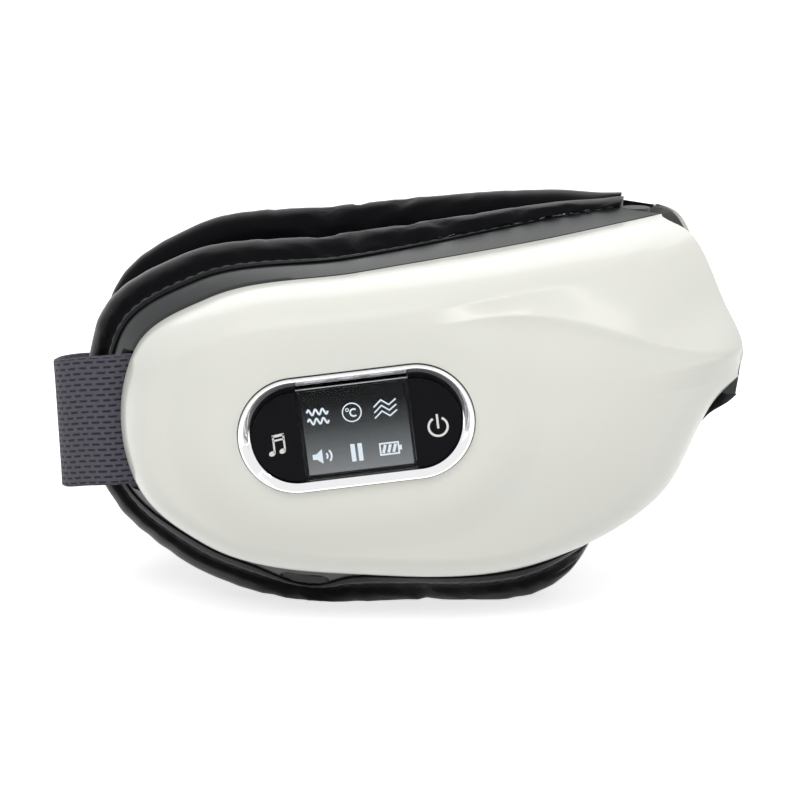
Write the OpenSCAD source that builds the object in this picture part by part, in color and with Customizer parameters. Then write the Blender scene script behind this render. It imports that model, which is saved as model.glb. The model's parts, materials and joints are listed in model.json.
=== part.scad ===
// Folding eye massager mask: two cushioned halves on a hinge at the nose bridge, standing folded

/* [Shell] */
// hinge axis to the temple edge of the front shell
shell_len = 99.3; // [97:0.1:102]
// lowest edge of the front shell to its brow tip
shell_h = 64.8; // [63:0.1:67]
// table to the lowest edge of the front shell
shell_lift = 9.2; // [8.5:0.1:10]
// wall thickness of the shells and the housings
wall = 2; // [1.6:0.1:2.2]
// width of the rounded shoulder along the shell edge
shoulder = 6.5; // [5:0.5:9]
// step of the styling crease at the nose end
crease_step = 0.4; // [0:0.1:1]

/* [Housing] */
// radius of the face curve in plan
face_r = 136; // [130:1:150]
// deepest distance of the face curve from the fold plane
face_bow = 19.1; // [18.5:0.1:19.5]
// depth of the eye hollow behind the cushion seat
eye_recess = 10; // [8:0.1:10.4]
// how far the cushion moves forward beside the nose
nose_relief = 13; // [11:0.5:14]
// height of the lip under the shell edge at the nose
lip_h = 3.8; // [2:0.1:4.5]
// gap between a seated piece and what it rests on
seat_gap = 0.08; // [0.05:0.01:0.12]

/* [Cushion] */
// width of the padded roll
roll_w = 9.5; // [8.5:0.1:10]
// padding behind the middle of the roll
roll_back = 4.5; // [4:0.1:5]
// padding in front of the middle of the roll
roll_front = 4; // [3.6:0.1:4.4]
// thickness of the air bag
bag_t = 2.4; // [1.6:0.1:2.6]
// thickness of the heating film
film_t = 0.6; // [0.4:0.1:0.8]
// thickness of the eye pad
pad_t = 3.4; // [2.6:0.1:3.6]

/* [Hinge] */
// how far the halves open from the folded pose
open_angle = 108; // [100:1:112]
// radius of the hinge pin
pin_r = 1.25; // [1:0.05:1.5]
// radial running clearance of the pin
pin_play = 0.05; // [0.03:0.01:0.08]
// outer radius of the hinge knuckles
knuckle_r = 2.8; // [2.6:0.1:2.9]
// underside of the hinge barrel
barrel_z = 46; // [45:0.5:48]
// length of one knuckle
knuckle_h = 6.5; // [5.5:0.1:6.6]
// gap between neighbouring knuckles
knuckle_gap = 0.2; // [0.1:0.05:0.3]
// clearance between moving faces of the two halves
part_gap = 0.35; // [0.3:0.05:0.5]

/* [Panel] */
// length of the chrome bezel
bezel_len = 43.6; // [42:0.1:45]
// height of the chrome bezel
bezel_h = 21.4; // [20.5:0.1:22]
// width of the chrome rim
rim_w = 2.2; // [1.8:0.1:2.4]
// how deep the chrome rim slopes down to the buttons
rim_drop = 0.75; // [0.5:0.05:0.9]
// height of the rim above the shell
rim_h = 0.9; // [0.6:0.1:1.2]
// slope of the panel's long side
panel_tilt = 7; // [4:0.5:9]
// width of the display window
lcd_w = 20.6; // [19:0.1:22]
// gap around a button
key_gap = 0.15; // [0.1:0.01:0.2]
// free height under a button, a little more than its travel
key_room = 0.8; // [0.7:0.1:1]

/* [Strap] */
// width of the elastic strap
strap_w = 25.4; // [24:0.1:26]
// thickness of the elastic strap
strap_t = 1.5; // [1.2:0.1:1.6]
// temple edge of the shell to the outer bend of the near strap
strap_out = 13.3; // [12.5:0.1:15]
// temple edge of the shell to the outer bend of the far strap
strap_out_far = 10.3; // [10:0.1:12]
// radius of the steel bar that holds the strap
bar_r = 1.2; // [1:0.1:1.4]
// thickness of the fastener pads
patch_t = 0.9; // [0.7:0.1:1]

/* [Inside] */
// thickness of the chassis plate
plate_t = 1.6; // [1.2:0.1:1.8]
// thickness of the circuit boards
board_t = 1.2; // [0.8:0.1:1.6]
// height of the posts under the main board
post_h = 1.1; // [0.8:0.1:1.6]
// height of the parts on the main board
chip_h = 1.1; // [0.8:0.1:1.6]
// room between those parts and the panel board
panel_room = 2.54; // [2:0.02:4]
// radius of the air pump
pump_r = 4.8; // [4.2:0.1:5]
// length of the air pump
pump_len = 19; // [16:0.5:20]
// length of the battery
battery_len = 38; // [30:0.5:42]
// height of the battery
battery_h = 24; // [18:0.5:26]
// thickness of the battery
battery_t = 6.2; // [4:0.1:7]

/* [Hidden] */
$fn = 64;
SEG = 3;
half_open = open_angle / 2;
slant = 1 / tan(half_open);
len_k = shell_len / 99.3;
h_k = shell_h / 64.8;
nose_reach = 19.2;
hinge_x = (shell_len + strap_out - nose_reach + part_gap) / 2;
cx = -54.6;
cz = shell_lift + 31.5;
seat = roll_front + seat_gap;
plate_w = face_bow + seat + eye_recess + wall + 1;
board_w = plate_w + plate_t + post_h;
chip_w = board_w + board_t + chip_h;
tray_w = chip_w + panel_room + board_t + seat_gap;
shell_depth = tray_w + 5;
barrel_h = 4 * knuckle_h + 3 * knuckle_gap;
bar_x = 9.6 - shell_len;
bar_w = 30.6;
strap_z = shell_lift + 28.8;
lug_z = strap_w / 2 + 1.4;
arm_z = barrel_z + 2;
arm_h = 10;
plate_x = bar_x + 5.7;
port_x = plate_x + 19;
port_w = 28.7;
key_x = (bezel_len - bezel_h) / 2 + 4;
key_w = shell_depth - 2.6;
key_top = shell_depth - rim_drop + key_gap;
window_w = shell_depth - 1.6 + seat_gap;
skirt_in = 1.15;
skirt_t = 0.35;
bag_a = 0.4;
film_a = bag_a + bag_t + seat_gap;
pad_a = film_a + film_t + seat_gap;
DECK = [0.18, 0.42, 0.66, 0.86];
board_x = plate_x + 8;
board_len = -28 - board_x;
cell_z = strap_z - 12;
motor_r = 3.5;
motor_t = 2.1;
motor_z = cell_z + battery_h + 0.3 + motor_r;
BOSSES = [for (x = [board_x + 3, board_x + board_len - 3], z = [strap_z - 11, strap_z + 11]) [x, z]];
// parts on the main board: share of its length, height from its middle, length, height
CHIPS = [[0.29, 0, 9, 9], [0.58, 6, 7, 7], [0.67, -7, 10, 5], [0.21, -10, 6, 4]];
function knuckle_at(j) = barrel_z + j * (knuckle_h + knuckle_gap);
white = [0.9, 0.89, 0.85];
grey = [0.38, 0.4, 0.41];
black = [0.06, 0.06, 0.07];
steel = [0.72, 0.73, 0.75];
green = [0.08, 0.32, 0.2];

// shell parting edge from the brow tip round the temple to the nose: along, depth, up
SHELL_EDGE = [
    [4.6, 6.3, 64.8], [-19.6, 22, 62.1], [-54.2, 33.2, 57.7], [-82.5, 33, 52.8],
    [-95.9, 30.6, 44], [-99.3, 30, 34.3], [-95.6, 30.6, 14.8], [-83.7, 33, 5.8],
    [-51.2, 33.5, 0], [-18.6, 32, 2.2], [3, 30, 14.1], [14.6, 27.2, 33.4], [18.5, 25.5, 36.7]
];
// centre edge of the shell from the nose up to the brow tip: along, up
CENTRE_EDGE = [[18.5, 36.7], [19.2, 41.3], [15.7, 50.6], [10.1, 62], [4.6, 64.8]];
// outer line of the cushion, same order as the shell edge: along, up
CUSHION_EDGE = [
    [-2.6, 76.9], [-24, 75.3], [-58, 71.2], [-88.4, 67.2], [-103, 57.4], [-106.8, 44],
    [-102.6, 20.1], [-90, 8.9], [-46, -0.6], [-14.5, 5.2], [-4.6, 26], [-4, 42], [-3.9, 44.5],
    [-3.8, 50], [-3.7, 60], [-3.4, 70], [-2.6, 76.9]
];
// section of the cushion roll: across from outside to inside, then front -1 to back 1
ROLL = [
    [0.28, -1], [0.03, -0.8], [0, -0.4], [0, 0.1], [0.1, 0.62], [0.3, 0.93], [0.52, 1],
    [0.75, 0.88], [0.92, 0.55], [1, 0], [0.97, -0.6], [0.88, -1]
];

function mix(a, b, t) = a + (b - a) * t;
function ease(a, b, v) = let (t = min(1, max(0, (v - a) / (b - a)))) t * t * (3 - 2 * t);
function span(p, i) = norm(p[i + 1] - p[i]);
function slope(p, i) = let (n = len(p) - 1)
    i == 0 ? (p[1] - p[0]) / span(p, 0) :
    i == n ? (p[n] - p[n - 1]) / span(p, n - 1) :
    let (a = span(p, i - 1), b = span(p, i))
    ((p[i] - p[i - 1]) / a * b + (p[i + 1] - p[i]) / b * a) / (a + b);
function curve(p, n) = [
    for (i = [0:len(p) - 2], k = [0:n - 1])
    let (t = k / n, d = span(p, i), u = t * t * (3 - 2 * t))
    p[i] * (1 - u) + p[i + 1] * u + d * t * (1 - t) * (slope(p, i) * (1 - t) - slope(p, i + 1) * t)
];

function bow(x) = sqrt(pow(face_r, 2) - pow(x + 69.7, 2)) - face_r + face_bow;
function roll_w_at(x, z) = max(2.2, bow(x)) + nose_relief * ease(-45, -5, x) * ease(46, 12, z);

PART_LINE = [for (p = SHELL_EDGE) [p[0] * (p[0] < 0 ? len_k : 1), p[1], shell_lift + p[2] * h_k]];
NOSE_LINE = [for (p = CENTRE_EDGE) [p[0] - part_gap, p[0] / slant, shell_lift + p[1] * h_k]];
EDGE = concat(curve(PART_LINE, SEG), curve(NOSE_LINE, SEG));
N = len(EDGE);
ROLL_CURVE = curve([for (p = CUSHION_EDGE) [p[0] * len_k, p[1]]], SEG);
ROLL_LINE = [for (p = ROLL_CURVE) [p[0], max(-0.3, p[1])]];

// unit direction from a point of a line towards the panel centre, in the x-z plane
function inward(x, z) = let (d = [cx - x, cz - z]) d / norm(d);
// how fully an edge point belongs to the centre edge, fading out along the brow
function centred(i) = let (s = (i - 12 * SEG) / (4 * SEG)) s < 0 ? ease(2.6 * SEG, 0, i) : ease(0, 0.25, s);

function crease_z(x) = shell_lift + h_k * (42.5 + 4.5 * ease(-70, -28, x) - 9.5 * ease(-30, 14, x));
function crease(x, z) = let (d = z - crease_z(x), a = crease_step * ease(-52, -15, x))
    a * (d > 0 ? 0.35 * exp(-d / 5) : exp(d / 1.6) - 0.65 * ease(-26, -3, d));
function panel_zone(x, z) = let (
    u = (x - cx) * cos(panel_tilt) + (z - cz) * sin(panel_tilt),
    v = (z - cz) * cos(panel_tilt) - (x - cx) * sin(panel_tilt),
    d = norm([max(0, abs(u) - bezel_len / 2 + bezel_h / 2), v]) - bezel_h / 2)
    ease(14, 1.5, d);
function dome(x, z) = let (
    s = ease(-45, 15, x), d = z - cz - 4.7 * s,
    dx = x > cx ? 22.5 * pow((x - cx) / 73.6, 3) : 10 * pow((cx - x) / 45, 3),
    dz = mix(0.004, d > 0 ? 0.028 : 0.008, s) * d * d,
    k = 1 - panel_zone(x, z))
    shell_depth - (dx + dz) * k + crease(x, z) * k;

// point of the bezel hole in the direction of an angle seen from the panel centre
function hole_at(a, h) = let (
    r = bezel_h / 2 - h, c = (bezel_len - bezel_h) / 2, b = a - panel_tilt,
    u = abs(cos(b)), v = abs(sin(b)),
    t = v * c > r * u ? r / v : u * c + sqrt(max(0, r * r - pow(v * c, 2))))
    [cx + t * cos(a), cz + t * sin(a)];

HOLE = 0.7;
// shell surface: edge index, share from the hole (0) to the edge (1), inset, hole size factor
function shell_point(i, f, inset, open) = let (
    e = EDGE[i], q = inward(e[0], e[2]) * inset,
    p = [e[0] + q[0], e[2] + q[1]],
    s = mix([cx, cz], hole_at(atan2(p[1] - cz, p[0] - cx), HOLE), open),
    m = mix(s, p, f), reach = norm(p - s),
    gone = (1 - f) * reach, wide = min(shoulder, 0.8 * reach),
    side = gone > wide ? 0 : 1 - sqrt(max(0, 1 - pow(1 - gone / wide, 2))),
    drop = dome(p[0], p[1]) - inset - e[1],
    w = dome(m[0], m[1]) - inset - drop * side)
    [m[0], -w, m[1]];

RINGS = 9;
// bands between rings, with the diagonals of the second half turned to match the first
function ring_faces(n, rows) = [
    for (k = [0:rows - 2], i = [0:n - 1])
    let (a = k * n + i, b = k * n + (i + 1) % n, c = a + n, d = b + n)
    each k < rows / 2 - 1 ? [[a, b, c], [b, d, c]] : [[a, b, d], [a, d, c]]
];
// closed band of rings whose first and last rings meet
function loop_faces(n, rows) = [
    for (k = [0:rows - 1], i = [0:n - 1])
    let (r = (k + 1) % rows, a = k * n + i, b = k * n + (i + 1) % n, c = r * n + i, d = r * n + (i + 1) % n)
    each [[a, b, c], [b, d, c]]
];
function middle(r) = [for (k = [0:2]) [for (p = r) p[k]] * [for (p = r) 1] / len(r)];
// rings from one pole over the edge to the other pole
function dish(rows) = let (n = len(rows[0]), m = len(rows))
    [concat([for (r = rows) each r], [middle(rows[0]), middle(rows[m - 1])]),
     concat(ring_faces(n, m), [for (i = [0:n - 1]) [n * m, (i + 1) % n, i]],
        [for (i = [0:n - 1]) [n * m + 1, (m - 1) * n + i, (m - 1) * n + (i + 1) % n]])];

module solid(d) {
    polyhedron(points = d[0], faces = d[1], convexity = 10);
}

module place() {
    translate([hinge_x, 0, 0]) children();
}

module far() {
    mirror([0, 1, 0]) children();
}

// plate across the depth axis from depth a to depth b
module slab(a, b) {
    translate([0, -a, 0]) rotate([90, 0, 0]) linear_extrude(b - a) children();
}

module at_panel() {
    translate([cx, 0, cz]) rotate([0, -panel_tilt, 0]) children();
}

module stadium(l, h) {
    square([l - h, h], center = true);
    for (s = [-1, 1]) translate([s * (l - h) / 2, 0]) circle(d = h);
}

module shell_body(open) {
    first = open ? 0 : 1;
    hole = open ? 1 : 0;
    shares = [for (k = [first:RINGS]) sin(90 * k / RINGS)];
    last = len(shares) - 1;
    outer = [for (k = [0:last]) [for (i = [0:N - 1]) shell_point(i, shares[k], 0, hole)]];
    inner = [for (k = [last:-1:0]) [for (i = [0:N - 1]) shell_point(i, shares[k], wall, hole)]];
    rows = concat(outer, inner);
    points = [for (r = rows) each r];
    if (open) polyhedron(points = points, faces = loop_faces(N, len(rows)), convexity = 10);
    else solid(dish(rows));
}

// edges of the seat under the cushion, measured in from its outer line
seat_out = ROLL[0][0] * roll_w;
seat_in = ROLL[11][0] * roll_w;
// point of the cushion line moved towards the panel centre
function seat_point(i, inset) = let (p = ROLL_LINE[i]) p + inward(p[0], p[1]) * inset;
function deck_point(i, g, lift) = let (
    p = seat_point(i, seat_in), m = mix([cx, cz], p, g))
    [m[0], -(roll_w_at(m[0], m[1]) + seat + eye_recess * ease(0.98, 0.4, g) + lift), m[1]];
function seat_ring(inset, lift) = [for (i = [0:N - 1]) let (p = seat_point(i, inset))
    [p[0], -(roll_w_at(p[0], p[1]) + seat + lift), p[1]]];
// lip of the housing under the shell edge beside the nose
function lip(i) = let (s = (i - 12 * SEG) / (4 * SEG))
    s > 0 ? lip_h * pow(1 - s, 2) : i > 9 * SEG ? lip_h * ease(8, 17.5, EDGE[i][0]) : 0;
function rim_ring(inset) = [for (i = [0:N - 1]) let (e = EDGE[i], q = inward(e[0], e[2]) * inset)
    [e[0] + q[0] - 0.1 * centred(i), -(e[1] - seat_gap), e[2] + q[1] - lip(i)]];

module bowl() {
    front = concat([for (g = DECK) [for (i = [0:N - 1]) deck_point(i, g, wall)]],
        [seat_ring(seat_in, wall), seat_ring(seat_out + wall, wall), rim_ring(wall)]);
    back = concat([rim_ring(0), seat_ring(seat_out, 0), seat_ring(seat_in, 0)],
        [for (k = [3:-1:0]) [for (i = [0:N - 1]) deck_point(i, DECK[k], 0)]]);
    solid(dish(concat(front, back)));
}

module housing_body(port) {
    difference() {
        bowl();
        translate([bar_x - 30, -(bar_w - bar_r - strap_t - 1.05), strap_z - strap_w / 2 - 1.4])
            mirror([0, 1, 0]) cube([28, 6, strap_w + 2]);
        translate([0, 0, arm_z - 0.25]) linear_extrude(arm_h + 0.5)
            polygon([[-3.3, -4], [3.6, -4], [3.6, -9], [1.9, -12.3], [-6, -27], [-10, -27], [-3.3, -12.2]]);
        if (port) translate([port_x, -port_w, 2]) linear_extrude(9.6) stadium(9.6, 3.9);
    }
}

module cushion_body() {
    rows = [for (c = ROLL) [for (i = [0:N - 1]) let (
        p = seat_point(i, c[0] * roll_w), mid = roll_w_at(p[0], p[1]),
        w = c[1] < 0 ? mid - c[1] * roll_front : mid - c[1] * min(roll_back, mid - part_gap))
        [p[0], -w, max(0, p[1])]]];
    polyhedron(points = [for (r = rows) each r], faces = loop_faces(N, len(rows)), convexity = 10);
}

// soft layer on the deck between two heights above it
module layer(a, b) {
    ids = [0:N - 1];
    solid(dish(concat([for (g = DECK) [for (i = ids) deck_point(i, g, -a)]],
        [for (k = [3:-1:0]) [for (i = ids) deck_point(i, DECK[k], -b)]])));
}

module chassis_body(port) {
    difference() {
        union() {
            slab(plate_w, plate_w + plate_t)
                polygon([[plate_x, strap_z + 15], [plate_x, strap_z - 15], [-60, 18.5], [-30, 17.5],
                    [-20, 27], [-10, 36], [-10, 54], [-20, 60], [-60, 59]]);
            for (s = [-1, 1]) translate([0, 0, strap_z + s * lug_z - 0.8]) linear_extrude(1.6)
                polygon([[bar_x - 1.9, 1.9 - bar_w], [bar_x - 1.9, -bar_w - 1.9],
                    [plate_x - 3, -bar_w - 1.9], [plate_x - 3, -plate_w - 0.5],
                    [plate_x + 1, -plate_w - 0.5], [plate_x + 1, 2 - plate_w], [plate_x - 2, 1.9 - bar_w]]);
            for (i = [2, 5, 8, 12]) let (d = deck_point(i * SEG, 0.42, wall + 1.28))
                translate([d[0], 0, d[2]]) {
                    translate([0, d[1], 0]) sphere(r = 1.2);
                    slab(-d[1], plate_w + 0.7) circle(r = 1.2);
                }
            if (port) for (p = BOSSES) translate([p[0], 0, p[1]])
                slab(plate_w + 0.5, board_w - seat_gap) circle(r = 2.2);
            if (port) slab(plate_w, plate_w + plate_t) translate([port_x - 6, 15.6]) square([12, 6]);
            if (port) translate([port_x - 6, -plate_w - 0.5, 15.6])
                cube([12, plate_w + 0.5 - port_w - 1.65 - board_t - 2 * seat_gap, 1.6]);
        }
        translate([bar_x, -bar_w, 0]) cylinder(r = bar_r + 0.03, h = 80);
        if (port) for (p = BOSSES) translate([p[0], 0, p[1]])
            slab(plate_w - 1, board_w + 1) circle(r = 0.85);
    }
}

module bar_body() {
    translate([bar_x, -bar_w, strap_z - lug_z - 0.8]) cylinder(r = bar_r, h = 2 * lug_z + 1.6);
}

// strap centre line: along, depth, drop, from the wrap round the bar to the tucked end
function strap_line(out) = let (
    r = bar_r + 0.12 + strap_t / 2, x = -2.7 - shell_len, b = out - 2.7 - strap_t / 2)
    concat([for (a = [150:-40:-90]) [bar_x + r * cos(a), bar_w + r * sin(a), 0]],
        [[x + 4.5, bar_w - r - 0.1, -0.1], [x, bar_w - r - 0.6, -0.6]],
        [for (k = [[0.45, 24.4, 1.6], [0.85, 20.4, 2.8], [1, 15, 3.8], [0.9, 9.2, 4.3], [0.55, 5.2, 4.6]])
            [x - b * k[0], k[1], -k[2]]],
        [[x, 3.4, -4.9], [x + 8, 2.9, -5], [x + 18, 2.7, -5], [x + 26, 2.7, -5]]);

module strap_body(out) {
    p = strap_line(out);
    m = len(p) - 1;
    rows = [for (i = [0:m]) let (
        a = p[max(0, i - 1)], b = p[min(m, i + 1)], e = [b[0] - a[0], b[1] - a[1]], d = e / norm(e),
        n = [-d[1], d[0]] * strap_t / 2, z = strap_z + p[i][2], h = strap_w / 2)
        [[p[i][0] + n[0], -p[i][1] - n[1], z - h], [p[i][0] - n[0], -p[i][1] + n[1], z - h],
         [p[i][0] - n[0], -p[i][1] + n[1], z + h], [p[i][0] + n[0], -p[i][1] - n[1], z + h]]];
    polyhedron(points = [for (r = rows) each r],
        faces = concat(ring_faces(4, m + 1), [[3, 2, 1, 0], [for (k = [0:3]) 4 * m + k]]), convexity = 8);
}

module patch_body() {
    translate([plate_x - 1, 0, strap_z - 5]) slab(1.88 - patch_t, 1.88) stadium(15, 12);
}

module leaf_body(mine) {
    difference() {
        union() {
            translate([0, 0, barrel_z]) linear_extrude(barrel_h)
                polygon([[-2.5, -1.3], [slant * 1.3 - part_gap, -1.3], [slant * 6 - part_gap, -6],
                    [-2.5, -6]]);
            translate([0, 0, arm_z]) linear_extrude(arm_h)
                polygon([[-2.5, -5.5], [slant * 5.5 - part_gap, -5.5], [1.5, -12],
                    [-11, -plate_w + seat_gap], [-19, -plate_w + seat_gap], [-19, 2 - plate_w],
                    [-14, 3 - plate_w], [-2.5, -12]]);
            for (j = [mine, mine + 2]) translate([0, 0, knuckle_at(j)])
                cylinder(r = knuckle_r, h = knuckle_h);
        }
        translate([0, 0, barrel_z - 1]) cylinder(r = pin_r + pin_play, h = barrel_h + 2);
        for (j = [1 - mine, 3 - mine]) translate([0, 0, knuckle_at(j) - knuckle_gap])
            cylinder(r = knuckle_r + part_gap, h = knuckle_h + 2 * knuckle_gap);
    }
}

module hinge_pin() {
    color(steel) place() {
        translate([0, 0, barrel_z - 0.8]) cylinder(r = pin_r, h = barrel_h + 1.8);
        translate([0, 0, barrel_z - 1.6]) cylinder(r = pin_r + 0.8, h = 1.4);
    }
}

module hinge_cap() {
    color(grey) place() {
        difference() {
            translate([0, 0, barrel_z + barrel_h + 0.2]) cylinder(r = knuckle_r, h = 1.6);
            translate([0, 0, barrel_z + barrel_h]) cylinder(r = pin_r + 0.03, h = 1.1);
        }
    }
}

// chrome rim section: in from its outer edge, up from the shell, with the skirt in the shell's hole
RIM = [
    [0, seat_gap], [0, 0.4 * rim_h], [0.25, 0.85 * rim_h], [0.45, rim_h], [0.7, 0.97 * rim_h],
    [rim_w, -rim_drop], [rim_w, -rim_drop - 0.4], [skirt_in + skirt_t, -rim_drop - 0.85],
    [skirt_in + skirt_t, -4], [skirt_in, -4], [skirt_in, seat_gap]
];

module panel_bezel() {
    half = (bezel_len - bezel_h) / 2;
    section = [for (p = RIM) [bezel_h / 2 - p[0], p[1]]];
    color([0.85, 0.86, 0.88]) place() at_panel() translate([0, -shell_depth, 0]) rotate([90, 0, 0])
        for (turn = [0, 180]) rotate([0, 0, turn]) {
            translate([half, 0, 0]) rotate([0, 0, -90]) rotate_extrude(angle = 180) polygon(section);
            translate([-half, 0, 0]) rotate([90, 0, 90]) linear_extrude(2 * half) polygon(section);
        }
}

module panel_tray() {
    inner = skirt_in + skirt_t + seat_gap;
    color(black) place() at_panel() {
        slab(tray_w, tray_w + 0.9) stadium(bezel_len - 2 * inner, bezel_h - 2 * inner);
        for (s = [-1, 1]) translate([s * key_x, 0, 0]) slab(tray_w + 0.8, key_w - key_room) circle(r = 1.6);
    }
}

module panel_board() {
    color(green) place() at_panel() slab(tray_w - seat_gap - board_t, tray_w - seat_gap)
        square([34, 13], center = true);
}

module display_module() {
    color([0.1, 0.11, 0.13]) place() at_panel() slab(tray_w + 0.9 + seat_gap, window_w - seat_gap)
        square([lcd_w - 1.2, bezel_h - 2 * rim_w - 0.8], center = true);
}

module display_window() {
    color([0.2, 0.21, 0.22]) place() at_panel() slab(window_w, key_top)
        square([lcd_w, bezel_h - 2 * rim_w - 0.2], center = true);
}

// flat-sided button cap with a lip under the bezel rim
module key_body(side) {
    at_panel() {
        slab(key_w, key_top) key_outline(side, key_gap);
        slab(key_w, shell_depth - rim_drop - 0.85 - key_gap) key_outline(side, -0.55);
    }
}

module key_outline(side, inset) {
    intersection() {
        stadium(bezel_len - 2 * rim_w - 2 * inset, bezel_h - 2 * rim_w - 2 * inset);
        translate([side > 0 ? lcd_w / 2 + key_gap : -lcd_w / 2 - key_gap - 30, -15]) square([30, 30]);
    }
}

module main_board() {
    color(green) place() {
        difference() {
            slab(board_w, board_w + board_t) translate([board_x, strap_z - 14]) square([board_len, 28]);
            for (p = BOSSES) translate([p[0], 0, p[1]]) slab(board_w - 1, board_w + 3) circle(r = 1.1);
        }
        for (c = CHIPS) translate([board_x + c[0] * board_len, 0, strap_z + c[1]])
            slab(board_w + board_t - 0.1, chip_w) square([c[2], c[3]], center = true);
    }
}

module board_screws() {
    color(steel) place() {
        for (p = BOSSES) translate([p[0], 0, p[1]]) {
            slab(board_w + board_t + seat_gap, board_w + board_t + 1) circle(r = 1.7);
            slab(plate_w + 0.1, board_w + board_t + 0.2) circle(r = 0.8);
        }
    }
}

module air_pump() {
    color(steel) place() {
        translate([-17, -(plate_w - pump_r - seat_gap), 43.5 - pump_len]) {
            cylinder(r = pump_r, h = pump_len);
            translate([0, 0, pump_len - 0.5]) cylinder(r = 1.4, h = 3);
            translate([0, 0, -1.2]) cylinder(r = pump_r - 1.4, h = 1.5);
        }
    }
}

module air_valve() {
    color([0.8, 0.8, 0.76]) place() {
        translate([-25, -plate_w - plate_t - seat_gap, 31.5]) mirror([0, 1, 0]) cube([9, 3.4, 10]);
        translate([-20.5, -plate_w - plate_t - seat_gap - 1.7, 41]) cylinder(r = 1.2, h = 3.6);
    }
}

module motor_body() {
    translate([-23.5, -plate_w - plate_t - seat_gap, motor_z]) rotate([90, 0, 0])
        cylinder(r = motor_r, h = motor_t);
}

module battery() {
    color([0.2, 0.3, 0.5]) place() far()
        translate([plate_x + 14, -plate_w - plate_t - seat_gap, cell_z])
        mirror([0, 1, 0]) cube([battery_len, battery_t, battery_h]);
}

module charge_socket() {
    color(steel) place() {
        translate([port_x, -port_w, 7.4]) linear_extrude(7.2) difference() {
            stadium(9, 3.3);
            stadium(8.3, 2.6);
        }
        translate([port_x, -port_w, 13.6]) linear_extrude(1) stadium(9, 3.3);
        translate([port_x, -port_w, 9]) linear_extrude(5) square([6.6, 0.7], center = true);
    }
}

module charge_board() {
    color(green) place() {
        translate([port_x - 7, -port_w - 1.65 - seat_gap, 11.6]) mirror([0, 1, 0]) cube([14, board_t, 5.6]);
    }
}

module right_front_shell() {
    color(white) place() shell_body(true);
}

module right_rear_housing() {
    color(grey) place() housing_body(true);
}

module right_face_cushion() {
    color(black) place() cushion_body();
}

module right_eye_pad() {
    color([0.13, 0.13, 0.14]) place() layer(pad_a, pad_a + pad_t);
}

module right_heat_film() {
    color([0.75, 0.45, 0.2]) place() layer(film_a, film_a + film_t);
}

module right_air_bag() {
    color([0.55, 0.6, 0.66]) place() layer(bag_a, bag_a + bag_t);
}

module right_chassis() {
    color(black) place() chassis_body(true);
}

module right_strap_bar() {
    color(steel) place() bar_body();
}

module right_strap() {
    color([0.29, 0.28, 0.32]) place() strap_body(strap_out);
}

module right_strap_patch() {
    color(black) place() patch_body();
}

module right_hinge_leaf() {
    color(grey) place() leaf_body(0);
}

module music_button() {
    color([0.03, 0.03, 0.03]) place() key_body(-1);
}

module power_button() {
    color([0.03, 0.03, 0.03]) place() key_body(1);
}

module right_vibration_motor() {
    color(steel) place() motor_body();
}

module left_front_shell() {
    color(white) place() far() shell_body(false);
}

module left_rear_housing() {
    color(grey) place() far() housing_body(false);
}

module left_face_cushion() {
    color(black) place() far() cushion_body();
}

module left_eye_pad() {
    color([0.13, 0.13, 0.14]) place() far() layer(pad_a, pad_a + pad_t);
}

module left_heat_film() {
    color([0.75, 0.45, 0.2]) place() far() layer(film_a, film_a + film_t);
}

module left_air_bag() {
    color([0.55, 0.6, 0.66]) place() far() layer(bag_a, bag_a + bag_t);
}

module left_chassis() {
    color(black) place() far() chassis_body(false);
}

module left_strap_bar() {
    color(steel) place() far() bar_body();
}

module left_strap() {
    color([0.29, 0.28, 0.32]) place() far() strap_body(strap_out_far);
}

module left_strap_patch() {
    color(black) place() far() patch_body();
}

module left_hinge_leaf() {
    color(grey) place() far() leaf_body(1);
}

module left_vibration_motor() {
    color(steel) place() far() motor_body();
}

right_front_shell();
right_rear_housing();
right_face_cushion();
right_eye_pad();
right_heat_film();
right_air_bag();
right_chassis();
right_strap_bar();
right_strap();
right_strap_patch();
right_hinge_leaf();
hinge_pin();
hinge_cap();
panel_bezel();
panel_tray();
panel_board();
display_module();
display_window();
music_button();
power_button();
main_board();
board_screws();
air_pump();
air_valve();
right_vibration_motor();
charge_socket();
charge_board();
left_front_shell();
left_rear_housing();
left_face_cushion();
left_eye_pad();
left_heat_film();
left_air_bag();
left_chassis();
left_strap_bar();
left_strap();
left_strap_patch();
left_hinge_leaf();
left_vibration_motor();
battery();
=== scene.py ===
"""Folding eye massager mask, closed on its nose hinge and standing on its cushions."""

import json
import logging
import math
from dataclasses import dataclass
from enum import Enum

import bpy
import numpy as np
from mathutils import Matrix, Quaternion, Vector

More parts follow.
